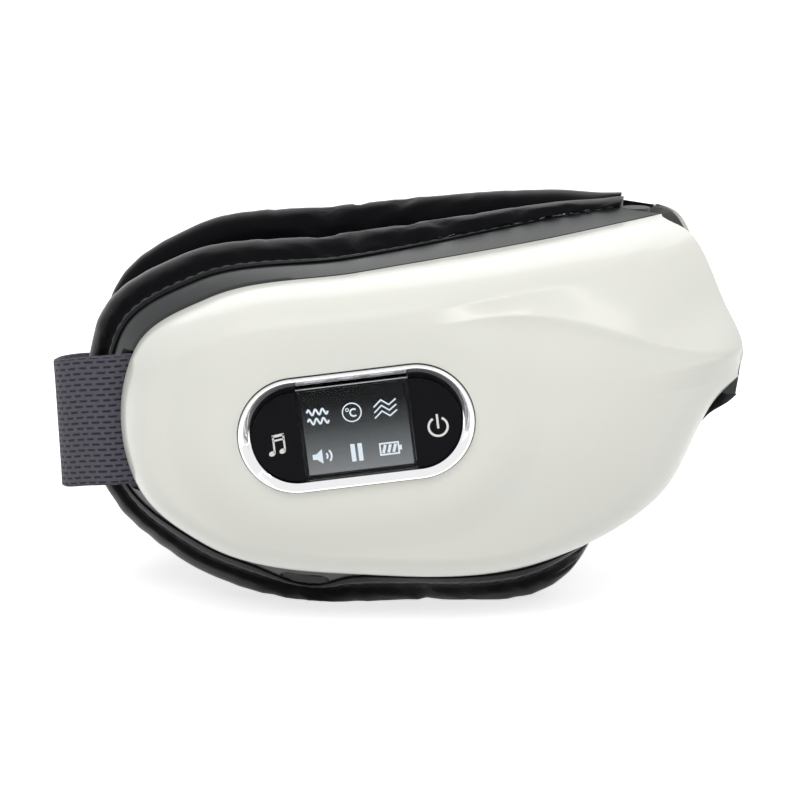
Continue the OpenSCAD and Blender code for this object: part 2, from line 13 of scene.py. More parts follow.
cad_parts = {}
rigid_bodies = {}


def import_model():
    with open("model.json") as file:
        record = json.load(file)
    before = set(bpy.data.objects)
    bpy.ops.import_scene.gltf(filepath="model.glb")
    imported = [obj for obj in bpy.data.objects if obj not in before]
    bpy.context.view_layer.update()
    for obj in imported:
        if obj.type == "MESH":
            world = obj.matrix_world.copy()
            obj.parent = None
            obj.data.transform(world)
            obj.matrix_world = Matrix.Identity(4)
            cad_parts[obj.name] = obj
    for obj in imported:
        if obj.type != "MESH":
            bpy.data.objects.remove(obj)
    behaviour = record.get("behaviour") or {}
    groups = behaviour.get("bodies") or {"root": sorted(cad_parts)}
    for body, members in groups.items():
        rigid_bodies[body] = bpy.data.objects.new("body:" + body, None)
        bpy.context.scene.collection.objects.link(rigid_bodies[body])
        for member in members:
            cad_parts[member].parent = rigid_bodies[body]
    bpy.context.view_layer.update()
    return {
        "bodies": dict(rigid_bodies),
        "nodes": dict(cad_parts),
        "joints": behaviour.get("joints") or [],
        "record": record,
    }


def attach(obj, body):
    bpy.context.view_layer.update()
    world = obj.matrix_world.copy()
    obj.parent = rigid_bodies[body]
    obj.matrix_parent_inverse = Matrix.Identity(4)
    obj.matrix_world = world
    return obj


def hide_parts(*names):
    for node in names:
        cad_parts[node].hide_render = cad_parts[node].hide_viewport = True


MM = 0.001
ROW = "row"
log = logging.getLogger("eye_massager")

Points = np.ndarray
Piece = bpy.types.Object
Pieces = list[Piece]


class Half(Enum):
    """One half of the mask, with the side of the fold plane that it lies on."""

    RIGHT = -1.0
    LEFT = 1.0

    @property
    def label(self) -> str:
        """The word that starts this half's node names."""
        return self.name.lower()

    @property
    def body(self) -> str:
        """The body that this half's pieces move with."""
        return f"{self.label}_half"


def ease(low: float, high: float, value: Points) -> Points:
    """Smooth step.

    Args:
        low: value where the step starts, at 0.
        high: value where the step ends, at 1.
        value: where the step is read.

    Returns:
        The step's height at each value.
    """
    share = np.clip((np.asarray(value, float) - low) / (high - low), 0, 1)
    return share * share * (3 - 2 * share)


def spline(points: list, steps: int) -> Points:
    """Smooth curve through points, with slopes weighted by the chords.

    Args:
        points: the points that the curve passes through.
        steps: samples between one point and the next.

    Returns:
        The samples, without the last point.
    """
    knots = np.asarray(points, float)
    chord = np.diff(knots, axis=0)
    length = np.linalg.norm(chord, axis=1)[:, None]
    heading = chord / length
    slope = np.concatenate([heading[:1], heading, heading[-1:]])[: len(knots)]
    slope[-1] = heading[-1]
    before, after = length[:-1], length[1:]
    slope[1:-1] = (heading[:-1] * after + heading[1:] * before) / (before + after)
    share = (np.arange(steps) / steps)[None, :, None]
    step = share * share * (3 - 2 * share)
    bend = slope[:-1, None] * (1 - share) - slope[1:, None] * share
    curve = knots[:-1, None] * (1 - step) + knots[1:, None] * step
    curve = curve + length[:, None] * share * (1 - share) * bend
    return curve.reshape(-1, knots.shape[1])


def loop_spline(points: list, steps: int) -> Points:
    """Smooth closed curve through points.

    Args:
        points: the points in order round the loop.
        steps: samples between one point and the next.

    Returns:
        The samples, one lap.
    """
    knots = list(points)
    lap = spline(knots[-2:] + knots + knots[:3], steps)
    return lap[2 * steps : (2 + len(knots)) * steps]


@dataclass(frozen=True)
class MaskForm:
    """The mask's form in millimetres: along from the hinge axis, depth from the fold plane, up."""

    hinge_x: float
    # Shell and the shoulder at its edge.
    shell_lift: float = 9.2
    shell_depth: float = 50.0
    wall: float = 2.0
    shoulder: float = 6.5
    tip_fade: float = 1.5
    tip_run: float = 30.0
    # Flat field round the panel, and how the face falls to the nose, the temple and the brow.
    flat_near: float = 1.5
    flat_far: float = 14.0
    nose_start: float = -45.0
    nose_end: float = 15.0
    nose_fall: float = 22.5
    nose_reach: float = 73.6
    temple_fall: float = 10.0
    temple_reach: float = 45.0
    brow_lift: float = 4.7
    camber: float = 0.004
    brow_camber: float = 0.024
    # Styling crease: its line, its size, the lip above and the hollow below.
    crease_step: float = 0.75
    crease_z: float = 47.0
    crease_rise: float = 4.6
    crease_fall: float = 9.3
    crease_start: float = -70.0
    crease_peak: float = -26.0
    crease_end: float = 16.0
    crease_fade: float = -52.0
    crease_full: float = -15.0
    lip_rise: float = 0.75
    lip_soft: float = 2.2
    hollow_rise: float = 1.4
    hollow_soft: float = 1.6
    hollow_base: float = 0.65
    hollow_low: float = -26.0
    hollow_high: float = -3.0
    # Face curve, eye deck and the room for the nose.
    face_r: float = 136.0
    face_bow: float = 19.1
    face_middle: float = -69.7
    eye_recess: float = 10.0
    deck_flat: float = 0.4
    deck_rim: float = 0.98
    nose_relief: float = 13.0
    relief_start: float = -45.0
    relief_end: float = -5.0
    relief_top: float = 46.0
    relief_foot: float = 12.0
    roll_least: float = 2.2
    # Housing's rim, and its lip at the nose, which starts after the first nine spans of the edge.
    lip_h: float = 3.8
    lip_from: float = 9.0
    lip_start: float = 8.0
    lip_full: float = 17.5
    centre_gap: float = 0.1
    brow_spans: float = 2.6
    arch_span: float = 0.25
    seat_gap: float = 0.08
    # Cushion roll and the way the halves part.
    roll_w: float = 9.5
    roll_back: float = 4.5
    roll_front: float = 4.0
    seat_outer: float = 0.28
    seat_inner: float = 0.88
    floor_sink: float = 0.3
    half_open: float = 54.0
    part_gap: float = 0.35
    # Panel, charging port and the housing's wall.
    bezel_len: float = 43.6
    bezel_h: float = 21.4
    panel_tilt: float = 7.0
    panel_x: float = -54.6
    panel_rise: float = 31.5
    hole_inset: float = 0.7
    port_x: float = -65.0
    wall_bulge: float = 0.5
    steps: int = 20

    SHELL_EDGE = [
        [4.6, 6.3, 64.8], [-19.6, 22, 62.1], [-54.2, 33.2, 57.7], [-82.5, 33, 52.8],
        [-95.9, 30.6, 44], [-99.3, 30, 34.3], [-95.6, 30.6, 14.8], [-83.7, 33, 5.8],
        [-51.2, 33.5, 0], [-18.6, 32, 2.2], [3, 30, 14.1], [14.6, 27.2, 33.4], [18.5, 25.5, 36.7],
    ]  # fmt: skip
    CENTRE_EDGE = [[18.5, 36.7], [19.2, 41.3], [15.7, 50.6], [10.1, 62], [4.6, 64.8]]
    CUSHION_EDGE = [
        [-2.6, 76.9], [-24, 75.3], [-58, 71.2], [-88.4, 67.2], [-103, 57.4], [-106.8, 44],
        [-102.6, 20.1], [-90, 8.9], [-46, -0.6], [-14.5, 5.2], [-4.6, 26], [-4, 42], [-3.9, 44.5],
        [-3.8, 50], [-3.7, 60], [-3.4, 70], [-2.6, 76.9],
    ]  # fmt: skip

    @property
    def panel_z(self) -> float:
        """Height of the panel's middle."""
        return self.shell_lift + self.panel_rise

    @property
    def middle(self) -> Points:
        """Along and up of the panel's middle."""
        return np.array([self.panel_x, self.panel_z])

    @property
    def edge(self) -> Points:
        """The shell's edge, once round: along, depth, up."""
        parting = [[x, w, self.shell_lift + z] for x, w, z in self.SHELL_EDGE]
        slant = 1 / math.tan(math.radians(self.half_open))
        centre = [[x - self.part_gap, x / slant, self.shell_lift + z] for x, z in self.CENTRE_EDGE]
        return np.concatenate([spline(parting, self.steps), spline(centre, self.steps)])

    @property
    def cushion_line(self) -> Points:
        """The cushion's outer line, once round: along, up."""
        line = spline(self.CUSHION_EDGE, self.steps)
        line[:, 1] = np.maximum(-self.floor_sink, line[:, 1])
        return line

    @property
    def arch_end(self) -> int:
        """Number of spans of the shell's edge before its centre edge starts."""
        return len(self.SHELL_EDGE) - 1

    @property
    def span(self) -> Points:
        """Place of each sample of the edge, counted in spans."""
        return np.arange(len(self.edge)) / self.steps

    @property
    def centre_share(self) -> Points:
        """Place of each sample along the centre edge, from 0 to 1, and below 0 before it."""
        return (self.span - self.arch_end) / (len(self.CENTRE_EDGE) - 1)

    @property
    def centred(self) -> Points:
        """How fully each sample of the edge belongs to the centre edge, fading out along the brow."""
        share = self.centre_share
        return np.where(share < 0, ease(self.brow_spans, 0, self.span), ease(0, self.arch_span, share))

    def inward(self, line: Points) -> Points:
        """Unit directions from a line's points towards the panel's middle."""
        way = self.middle - line
        return way / np.linalg.norm(way, axis=-1, keepdims=True)

    def bow(self, x: Points) -> Points:
        """Depth of the face curve in plan."""
        arc = np.sqrt(self.face_r**2 - (x - self.face_middle) ** 2)
        return arc - self.face_r + self.face_bow

    def roll_depth(self, x: Points, z: Points) -> Points:
        """Depth of the middle of the cushion roll.

        Args:
            x: along the mask.
            z: up.

        Returns:
            The depths, deeper below the nose bridge.
        """
        along = ease(self.relief_start, self.relief_end, x)
        low = ease(self.relief_top, self.relief_foot, z)
        return np.maximum(self.roll_least, self.bow(x)) + self.nose_relief * along * low

    def crease(self, x: Points, z: Points) -> Points:
        """Height of the styling crease above the plain shell.

        Args:
            x: along the mask.
            z: up.

        Returns:
            The heights: a lip above the crease's line and a hollow below it.
        """
        climb = self.crease_rise * ease(self.crease_start, self.crease_peak, x)
        line = self.crease_z + climb - self.crease_fall * ease(self.crease_peak, self.crease_end, x)
        above = z - self.shell_lift - line
        size = self.crease_step * ease(self.crease_fade, self.crease_full, x)
        upper = self.lip_rise * np.exp(-np.maximum(above, 0) / self.lip_soft)
        lower = self.hollow_rise * np.exp(np.minimum(above, 0) / self.hollow_soft)
        lower = lower - self.hollow_base * ease(self.hollow_low, self.hollow_high, above)
        return size * np.where(above > 0, upper, lower)

    def dome(self, x: Points, z: Points) -> Points:
        """Depth of the shell's front face, flat round the panel.

        Args:
            x: along the mask.
            z: up.

        Returns:
            The depths from the fold plane.
        """
        tilt = math.radians(self.panel_tilt)
        dx, dz = x - self.panel_x, z - self.panel_z
        u = dx * math.cos(tilt) + dz * math.sin(tilt)
        v = dz * math.cos(tilt) - dx * math.sin(tilt)
        away = np.hypot(np.maximum(0, np.abs(u) - (self.bezel_len - self.bezel_h) / 2), v)
        free = 1 - ease(self.flat_far, self.flat_near, away - self.bezel_h / 2)
        nose = ease(self.nose_start, self.nose_end, x)
        to_nose = self.nose_fall * (dx / self.nose_reach) ** 3
        to_temple = self.temple_fall * (-dx / self.temple_reach) ** 3
        across = np.where(dx > 0, to_nose, to_temple)
        rise = dz - self.brow_lift * nose
        upright = (self.camber + np.where(rise > 0, self.brow_camber, self.camber) * nose) * rise**2
        return self.shell_depth + (self.crease(x, z) - across - upright) * free

    def hole(self, angle: Points) -> Points:
        """The bezel hole's edge, seen from the panel's middle.

        Args:
            angle: directions in radians.

        Returns:
            The edge's point in each direction: along, up.
        """
        turned = angle - math.radians(self.panel_tilt)
        r = self.bezel_h / 2 - self.hole_inset
        half = (self.bezel_len - self.bezel_h) / 2
        u, v = np.abs(np.cos(turned)), np.abs(np.sin(turned))
        flat = r / np.maximum(v, 1e-9)
        round_end = u * half + np.sqrt(np.maximum(0, r * r - (v * half) ** 2))
        reach = np.where(v * half > r * u, flat, round_end)
        return self.middle + reach[:, None] * np.stack([np.cos(angle), np.sin(angle)], axis=1)

    def shell_rows(self, rings: int, holed: bool, inset: float = 0.0) -> Points:
        """One face of the shell, from the hole or the middle to the edge.

        Args:
            rings: number of rings.
            holed: whether the bezel's hole is left out.
            inset: how far the face lies under the outer face.

        Returns:
            Rings of points: along, minus depth, up.
        """
        edge = self.edge
        rim = edge[:, [0, 2]]
        rim = rim + self.inward(rim) * inset
        spoke = rim - self.middle
        start = self.hole(np.arctan2(spoke[:, 1], spoke[:, 0])) if holed else self.middle + 0 * rim
        share = np.sin(np.linspace(0, math.pi / 2, rings))[:, None]
        spot = start * (1 - share[..., None]) + rim * share[..., None]
        drop = self.dome(rim[:, 0], rim[:, 1]) - inset - edge[:, 1]
        last = self.arch_end * self.steps
        sample = np.arange(len(edge))
        bridged = np.interp(sample, [last, len(edge)], [drop[last], drop[0]])
        lead = np.where(sample > last, bridged, drop)
        line = self.run_on(rim[: last + 1])
        from_tip = (len(edge) - sample) / self.steps
        rest = (drop - lead * self.fillet(rim, line)) * ease(0, self.tip_fade, from_tip)
        depth = np.stack([
            self.dome(ring[:, 0], ring[:, 1]) - inset - lead * self.fillet(ring, line) - rest * late**2
            for ring, late in zip(spot, np.maximum(0, 2 * share[:, 0] - 1))
        ])  # fmt: skip
        return np.stack([spot[..., 0], -depth, spot[..., 1]], axis=-1)

    def run_on(self, line: Points) -> Points:
        """The parting line, carried straight on past the brow's tip and the nose arch.

        Args:
            line: the parting line's points: along, up.

        Returns:
            The line with one far point more at each end.
        """
        ahead, behind = line[-1] - line[-3], line[0] - line[2]
        ahead, behind = (way / np.linalg.norm(way) * self.tip_run for way in (ahead, behind))
        return np.concatenate([[line[0] + behind], line, [line[-1] + ahead]])

    def fillet(self, spots: Points, line: Points) -> Points:
        """Share of the shoulder's drop near a line.

        Args:
            spots: where the share is read: along, up.
            line: the line that the shoulder falls to.

        Returns:
            The shares: 1 on the line, 0 from the shoulder inwards.
        """
        start, way = line[:-1], np.diff(line, axis=0)
        from_start = spots[:, None] - start
        share = np.sum(from_start * way, axis=2) / np.sum(way * way, axis=1)
        nearest = from_start - np.clip(share, 0, 1)[..., None] * way
        gone = np.linalg.norm(nearest, axis=2).min(axis=1)
        return 1 - np.sqrt(1 - np.maximum(0, 1 - gone / self.shoulder) ** 2)

    def seat(self, inset: float, lift: float = 0.0) -> Points:
        """Ring of the cushion's seat.

        Args:
            inset: how far it is set in from the cushion line.
            lift: how far it lies in front of the seat.

        Returns:
            The ring's points: along, minus depth, up.
        """
        line = self.cushion_line
        spot = line + self.inward(line) * inset
        depth = self.roll_depth(spot[:, 0], spot[:, 1]) + self.roll_front + self.seat_gap + lift
        return np.stack([spot[:, 0], -depth, spot[:, 1]], axis=1)

    def deck(self, share: float, lift: float) -> Points:
        """Ring of the eye deck.

        Args:
            share: from 0 at the deck's middle to 1 at the cushion's seat.
            lift: how far it lies in front of the deck.

        Returns:
            The ring's points: along, minus depth, up.
        """
        line = self.cushion_line
        rim = line + self.inward(line) * self.seat_inner * self.roll_w
        spot = self.middle + (rim - self.middle) * share
        depth = self.roll_depth(spot[:, 0], spot[:, 1]) + self.roll_front + self.seat_gap
        depth = depth + self.eye_recess * ease(self.deck_rim, self.deck_flat, share) + lift
        return np.stack([spot[:, 0], -depth, spot[:, 1]], axis=1)

    def rim(self, inset: float) -> Points:
        """Ring of the housing's rim under the shell's edge, with the lip at the nose.

        Args:
            inset: how far the ring is set in from the shell's edge.

        Returns:
            The ring's points: along, minus depth, up.
        """
        edge, share = self.edge, self.centre_share
        tail = self.lip_h * (1 - np.clip(share, 0, 1)) ** 2
        rise = self.lip_h * ease(self.lip_start, self.lip_full, edge[:, 0])
        lip = np.where(share > 0, tail, np.where(self.span > self.lip_from, rise, 0))
        spot = edge[:, [0, 2]]
        spot = spot + self.inward(spot) * inset
        along = spot[:, 0] - self.centre_gap * self.centred
        return np.stack([along, -(edge[:, 1] - self.seat_gap), spot[:, 1] - lip], axis=1)

    def outward(self) -> Points:
        """Directions that point away from the panel's middle, level with the shell's edge."""
        way = -self.inward(self.edge[:, [0, 2]])
        return np.stack([way[:, 0], 0 * way[:, 0], way[:, 1]], axis=1)

    def wall_ring(self, share: Points | float, lift: float = 0.0) -> Points:
        """Ring on the housing's wall.

        Args:
            share: from 0 at the shell's edge to 1 at the cushion's seat.
            lift: how far the ring stands off the wall.

        Returns:
            The ring's points: along, minus depth, up.
        """
        rim, seat = self.rim(0.0), self.seat(self.seat_outer * self.roll_w)
        swell = self.wall_bulge * np.sin(math.pi * share) * (1 - self.centred)[:, None]
        return rim * (1 - share) + seat * share + self.outward() * (swell + lift)

    def place(self, rows: Points, half: Half) -> Points:
        """Points of the form in the object's frame, in metres, on one half."""
        placed = rows * np.array([1, -half.value, 1]) + np.array([self.hinge_x, 0, 0])
        return placed * MM


class Bench:
    """Modelling steps shared by the pieces."""

    @staticmethod
    def clear() -> None:
        """Leaves edit mode and deselects everything."""
        if bpy.context.object and bpy.context.object.mode != "OBJECT":
            bpy.ops.object.mode_set(mode="OBJECT")
        bpy.ops.object.select_all(action="DESELECT")

    @staticmethod
    def pick(piece: Piece) -> None:
        """Makes one piece the only selected and active one.

        Args:
            piece: the piece to work on.
        """
        Bench.clear()
        piece.select_set(True)
        bpy.context.view_layer.objects.active = piece

    @staticmethod
    def edit(piece: Piece) -> None:
        """Opens a piece in edit mode with all of it selected.

        Args:
            piece: the piece to work on.
        """
        Bench.pick(piece)
        bpy.ops.object.mode_set(mode="EDIT")
        bpy.ops.mesh.select_all(action="SELECT")

    @staticmethod
    def done() -> None:
        """Goes back to object mode."""
        bpy.ops.object.mode_set(mode="OBJECT")

    @staticmethod
    def loft(
        name: str, rows: Points, around: bool = True, closed: bool = False, numbered: bool = False
    ) -> Piece:
        """A grid drawn over rows of points, with its seams merged.

        Args:
            name: the piece's name.
            rows: rows of points in metres.
            around: whether each row closes on itself.
            closed: whether the last row meets the first.
            numbered: whether each vertex keeps the number of its row.

        Returns:
            The lofted piece.
        """
        if around:
            rows = np.concatenate([rows, rows[:, :1]], axis=1)
        if closed:
            rows = np.concatenate([rows, rows[:1]], axis=0)
        deep, wide = rows.shape[:2]
        Bench.clear()
        bpy.ops.mesh.primitive_grid_add(x_subdivisions=wide - 1, y_subdivisions=deep - 1, size=2)
        piece = bpy.context.object
        piece.name = name
        piece.data.name = name
        flat = Bench.spots(piece)
        column = np.rint((flat[:, 0] + 1) / 2 * (wide - 1)).astype(int)
        row = np.rint((flat[:, 1] + 1) / 2 * (deep - 1)).astype(int)
        if numbered:
            piece.data.attributes.new(ROW, "INT", "POINT").data.foreach_set("value", row)
        Bench.put(piece, rows[row, column])
        Bench.edit(piece)
        bpy.ops.mesh.remove_doubles(threshold=1e-6)
        bpy.ops.mesh.dissolve_degenerate(threshold=1e-7)
        Bench.done()
        return piece

    @staticmethod
    def prism(name: str, outline: Points, low: float, high: float) -> Piece:
        """A flat outline drawn out upwards.

        Args:
            name: the piece's name.
            outline: points along and across, in metres.
            low: height of the outline.
            high: height of the far face.

        Returns:
            The closed prism.
        """
        Bench.clear()
        bpy.ops.mesh.primitive_circle_add(vertices=len(outline), fill_type="NGON")
        piece = bpy.context.object
        piece.name = name
        for vertex, spot in zip(piece.data.vertices, outline):
            vertex.co = (spot[0], spot[1], low)
        Bench.edit(piece)
        bpy.ops.mesh.extrude_region_move(TRANSFORM_OT_translate={"value": (0, 0, high - low)})
        Bench.done()
        Bench.outward(piece)
        return piece

    @staticmethod
    def cap(piece: Piece) -> None:
        """Closes a piece's open ends with flat faces.

        Args:
            piece: the open piece.
        """
        Bench.edit(piece)
        bpy.ops.mesh.select_all(action="DESELECT")
        bpy.ops.mesh.select_mode(type="EDGE")
        bpy.ops.mesh.select_non_manifold(extend=False)
        bpy.ops.mesh.edge_face_add()
        bpy.ops.mesh.select_mode(type="VERT")
        Bench.done()

    @staticmethod
    def outward(piece: Piece) -> None:
        """Turns a closed piece's faces outwards.

        Args:
            piece: the closed piece.
        """
        Bench.edit(piece)
        bpy.ops.mesh.normals_make_consistent(inside=False)
        Bench.done()

    @staticmethod
    def modify(piece: Piece, kind: str, **settings: object) -> None:
        """Adds a modifier and applies it.

        Args:
            piece: the piece to change.
            kind: the modifier's type.
            settings: the modifier's own settings.
        """
        Bench.pick(piece)
        bpy.ops.object.modifier_add(type=kind)
        modifier = piece.modifiers[-1]
        for key, value in settings.items():
            setattr(modifier, key, value)
        bpy.ops.object.modifier_apply(modifier=modifier.name)

    @staticmethod
    def cut(piece: Piece, cutter: Piece) -> None:
        """Cuts a closed tool out of a closed piece and throws the tool away."""
        Bench.modify(piece, "BOOLEAN", object=cutter, operation="DIFFERENCE", solver="EXACT")
        bpy.data.objects.remove(cutter)

    @staticmethod
    def smooth(piece: Piece, angle: float = 35.0) -> None:
        """Shades a piece smooth, with sharp edges past an angle."""
        Bench.pick(piece)
        bpy.ops.object.shade_smooth_by_angle(angle=math.radians(angle))

    @staticmethod
    def join(pieces: Pieces, name: str) -> Piece:
        """Joins pieces into one.

        Args:
            pieces: the pieces to join.
            name: the joined piece's name.

        Returns:
            The joined piece.
        """
        Bench.clear()
        for piece in pieces:
            piece.select_set(True)
        bpy.context.view_layer.objects.active = pieces[0]
        bpy.ops.object.join()
        pieces[0].name = name
        return pieces[0]

    @staticmethod
    def spots(piece: Piece) -> Points:
        """Reads where a piece's vertices are.

        Args:
            piece: the piece to read.

        Returns:
            The vertices' places, in metres.
        """
        flat = np.empty(len(piece.data.vertices) * 3)
        piece.data.vertices.foreach_get("co", flat)
        return flat.reshape(-1, 3)

    @staticmethod
    def put(piece: Piece, spots: Points) -> None:
        """Moves a piece's vertices to new places."""
        piece.data.vertices.foreach_set("co", np.asarray(spots, np.float32).ravel())
        piece.data.update()

    @staticmethod
    def dress(piece: Piece, material: bpy.types.Material) -> None:
        """Gives a piece one material."""
        piece.data.materials.clear()
        piece.data.materials.append(material)


class Shader:
    """One material's nodes."""

    MIX_FAC, MIX_FIRST, MIX_SECOND, MIX_COLOUR = 0, 6, 7, 2

    def __init__(self, name: str) -> None:
        """Starts a material with a plain surface.

        Args:
            name: the material's name.
        """
        self.material = bpy.data.materials.new(name)
        self.material.use_nodes = True
        self.tree = self.material.node_tree
        self.surface = self.tree.nodes["Principled BSDF"]

    def add(self, kind: str, inputs: dict | None = None, **settings: object) -> bpy.types.Node:
        """Adds a node.

        Args:
            kind: the node's type.
            inputs: values or sockets for its inputs.
            settings: the node's own settings.

        Returns:
            The new node.
        """
        node = self.tree.nodes.new(kind)
        for key, value in settings.items():
            setattr(node, key, value)
        for key, value in (inputs or {}).items():
            if isinstance(value, bpy.types.NodeSocket):
                self.tree.links.new(value, node.inputs[key])
            else:
                node.inputs[key].default_value = value
        return node

    def set(self, **values: object) -> None:
        """Sets the surface's sockets.

        Args:
            values: values or sockets by the input's name, with underscores for spaces.
        """
        for key, value in values.items():
            socket = self.surface.inputs[key.replace("_", " ")]
            if isinstance(value, bpy.types.NodeSocket):
                self.tree.links.new(value, socket)
            else:
                socket.default_value = value

    def object_space(self) -> bpy.types.NodeSocket:
        """The piece's own coordinates in metres."""
        return self.add("ShaderNodeTexCoord").outputs["Object"]

    def math(self, step: str, a: object, b: object = 0.0) -> bpy.types.NodeSocket:
        """One arithmetic step."""
        return self.add("ShaderNodeMath", {0: a, 1: b}, operation=step).outputs[0]

    def noise(self, scale: float, detail: float = 2.0) -> bpy.types.NodeSocket:
        """Soft noise with so many spots to the metre."""
        settings = {"Vector": self.object_space(), "Scale": scale, "Detail": detail}
        return self.add("ShaderNodeTexNoise", settings).outputs["Fac"]

    def ramp(self, fac: bpy.types.NodeSocket, stops: list) -> bpy.types.NodeSocket:
        """Colours along a value.

        Args:
            fac: the value.
            stops: pairs of place and colour.

        Returns:
            The colour.
        """
        node = self.add("ShaderNodeValToRGB", {"Fac": fac})
        elements = node.color_ramp.elements
        while len(elements) < len(stops):
            elements.new(0.5)
        for element, (spot, colour) in zip(elements, stops):
            element.position = spot
            element.color = (*colour, 1.0)
        return node.outputs["Color"]

    def blend(self, fac: object, first: object, second: object) -> bpy.types.NodeSocket:
        """Mixes two colours.

        Args:
            fac: the second colour's share.
            first: colour or socket.
            second: colour or socket.

        Returns:
            The mixed colour.
        """
        inputs = {self.MIX_FAC: fac}
        for key, value in ((self.MIX_FIRST, first), (self.MIX_SECOND, second)):
            inputs[key] = value if isinstance(value, bpy.types.NodeSocket) else (*value, 1.0)
        return self.add("ShaderNodeMix", inputs, data_type="RGBA").outputs[self.MIX_COLOUR]

    def span(self, value: bpy.types.NodeSocket, low: float, high: float) -> bpy.types.NodeSocket:
        """A value from 0 to 1 stretched between two limits."""
        node = self.add("ShaderNodeMapRange", {"Value": value, "To Min": low, "To Max": high})
        return node.outputs["Result"]

    def bump(self, height: object, depth: float, strength: float = 1.0) -> None:
        """Raises the surface by a height in metres times depth."""
        inputs = {"Height": height, "Distance": depth, "Strength": strength}
        self.set(Normal=self.add("ShaderNodeBump", inputs).outputs["Normal"])


Colour = tuple[float, float, float]


@dataclass(frozen=True)
class GlossShell:
    """Ivory moulded shell under a clear coat."""

    colour: Colour = (0.795, 0.80, 0.74)
    warm: Colour = (0.81, 0.81, 0.745)
    roughness: float = 0.3
    spread: float = 0.03
    coat: float = 0.6
    coat_roughness: float = 0.12
    ripple: float = 0.000012

    def material(self) -> bpy.types.Material:
        """Builds the finish.

        Returns:
            The material.
        """
        s = Shader("ivory_shell")
        s.set(Base_Color=s.blend(s.noise(45, 1), self.colour, self.warm))
        s.set(Roughness=s.span(s.noise(900), self.roughness - self.spread, self.roughness + self.spread))
        s.set(Coat_Weight=self.coat, Coat_Roughness=self.coat_roughness, IOR=1.5)
        s.bump(s.noise(700, 1), self.ripple, 0.5)
        return s.material


@dataclass(frozen=True)
class SatinPlastic:
    """Moulded plastic with a fine eroded grain."""

    name: str
    colour: Colour
    roughness: float = 0.4
    grain: float = 0.00002
    specular: float = 0.5
    spread: float = 0.05
    fleck: float = 1.12
    fleck_lift: float = 0.002

    def material(self) -> bpy.types.Material:
        """Builds the finish.

        Returns:
            The material.
        """
        s = Shader(self.name)
        lighter = tuple(min(1.0, c * self.fleck + self.fleck_lift) for c in self.colour)
        s.set(Base_Color=s.blend(s.noise(120, 3), self.colour, lighter))
        s.set(Roughness=s.span(s.noise(1600), self.roughness - self.spread, self.roughness + self.spread))
        s.set(Specular_IOR_Level=self.specular)
        s.bump(s.noise(5200, 2), self.grain, 0.6)
        return s.material


@dataclass(frozen=True)
class Leather:
    """Soft black leather with a pebbled grain."""

    colour: Colour = (0.0022, 0.0023, 0.0029)
    worn: Colour = (0.0046, 0.0048, 0.0060)
    roughness: float = 0.43
    spread: float = 0.07
    specular: float = 0.04
    sheen: float = 0.85
    sheen_roughness: float = 0.3
    pebbles: float = 1150.0
    pebble_share: float = -0.6
    grain: float = 0.00006

    def material(self) -> bpy.types.Material:
        """Builds the finish.

        Returns:
            The material.
        """
        s = Shader("black_leather")
        spots = {"Vector": s.object_space(), "Scale": self.pebbles, "Randomness": 0.9}
        pebble = s.add("ShaderNodeTexVoronoi", spots, feature="SMOOTH_F1").outputs["Distance"]
        s.set(Base_Color=s.blend(s.noise(160, 4), self.colour, self.worn))
        blotch = s.noise(420, 3)
        s.set(Roughness=s.span(blotch, self.roughness - self.spread, self.roughness + self.spread))
        s.set(Specular_IOR_Level=self.specular)
        s.set(Sheen_Weight=self.sheen, Sheen_Roughness=self.sheen_roughness)
        height = s.math("ADD", s.math("MULTIPLY", pebble, self.pebble_share), s.noise(2600, 2))
        s.bump(height, self.grain, 0.45)
        return s.material


@dataclass(frozen=True)
class Knit:
    """Fine knit over foam."""

    name: str
    colour: Colour
    thread: float = 0.0009
    shade: float = 0.35
    sheen: float = 0.25
    relief: float = 0.0002

    def material(self) -> bpy.types.Material:
        """Builds the finish.

        Returns:
            The material.
        """
        s = Shader(self.name)
        cells = {"Vector": s.object_space(), "Scale": 1 / self.thread, "Randomness": 0.35}
        loop = s.add("ShaderNodeTexVoronoi", cells).outputs["Distance"]
        # The gaps between the loops, which the bump sinks, are darkened: painted shade.
        dark = tuple(self.shade * c for c in self.colour)
        s.set(Base_Color=s.blend(loop, self.colour, dark), Roughness=0.9)
        s.set(Specular_IOR_Level=0.2, Sheen_Weight=self.sheen, Sheen_Roughness=0.5)
        s.bump(s.math("MULTIPLY", loop, -1.0), self.relief, 0.8)
        return s.material


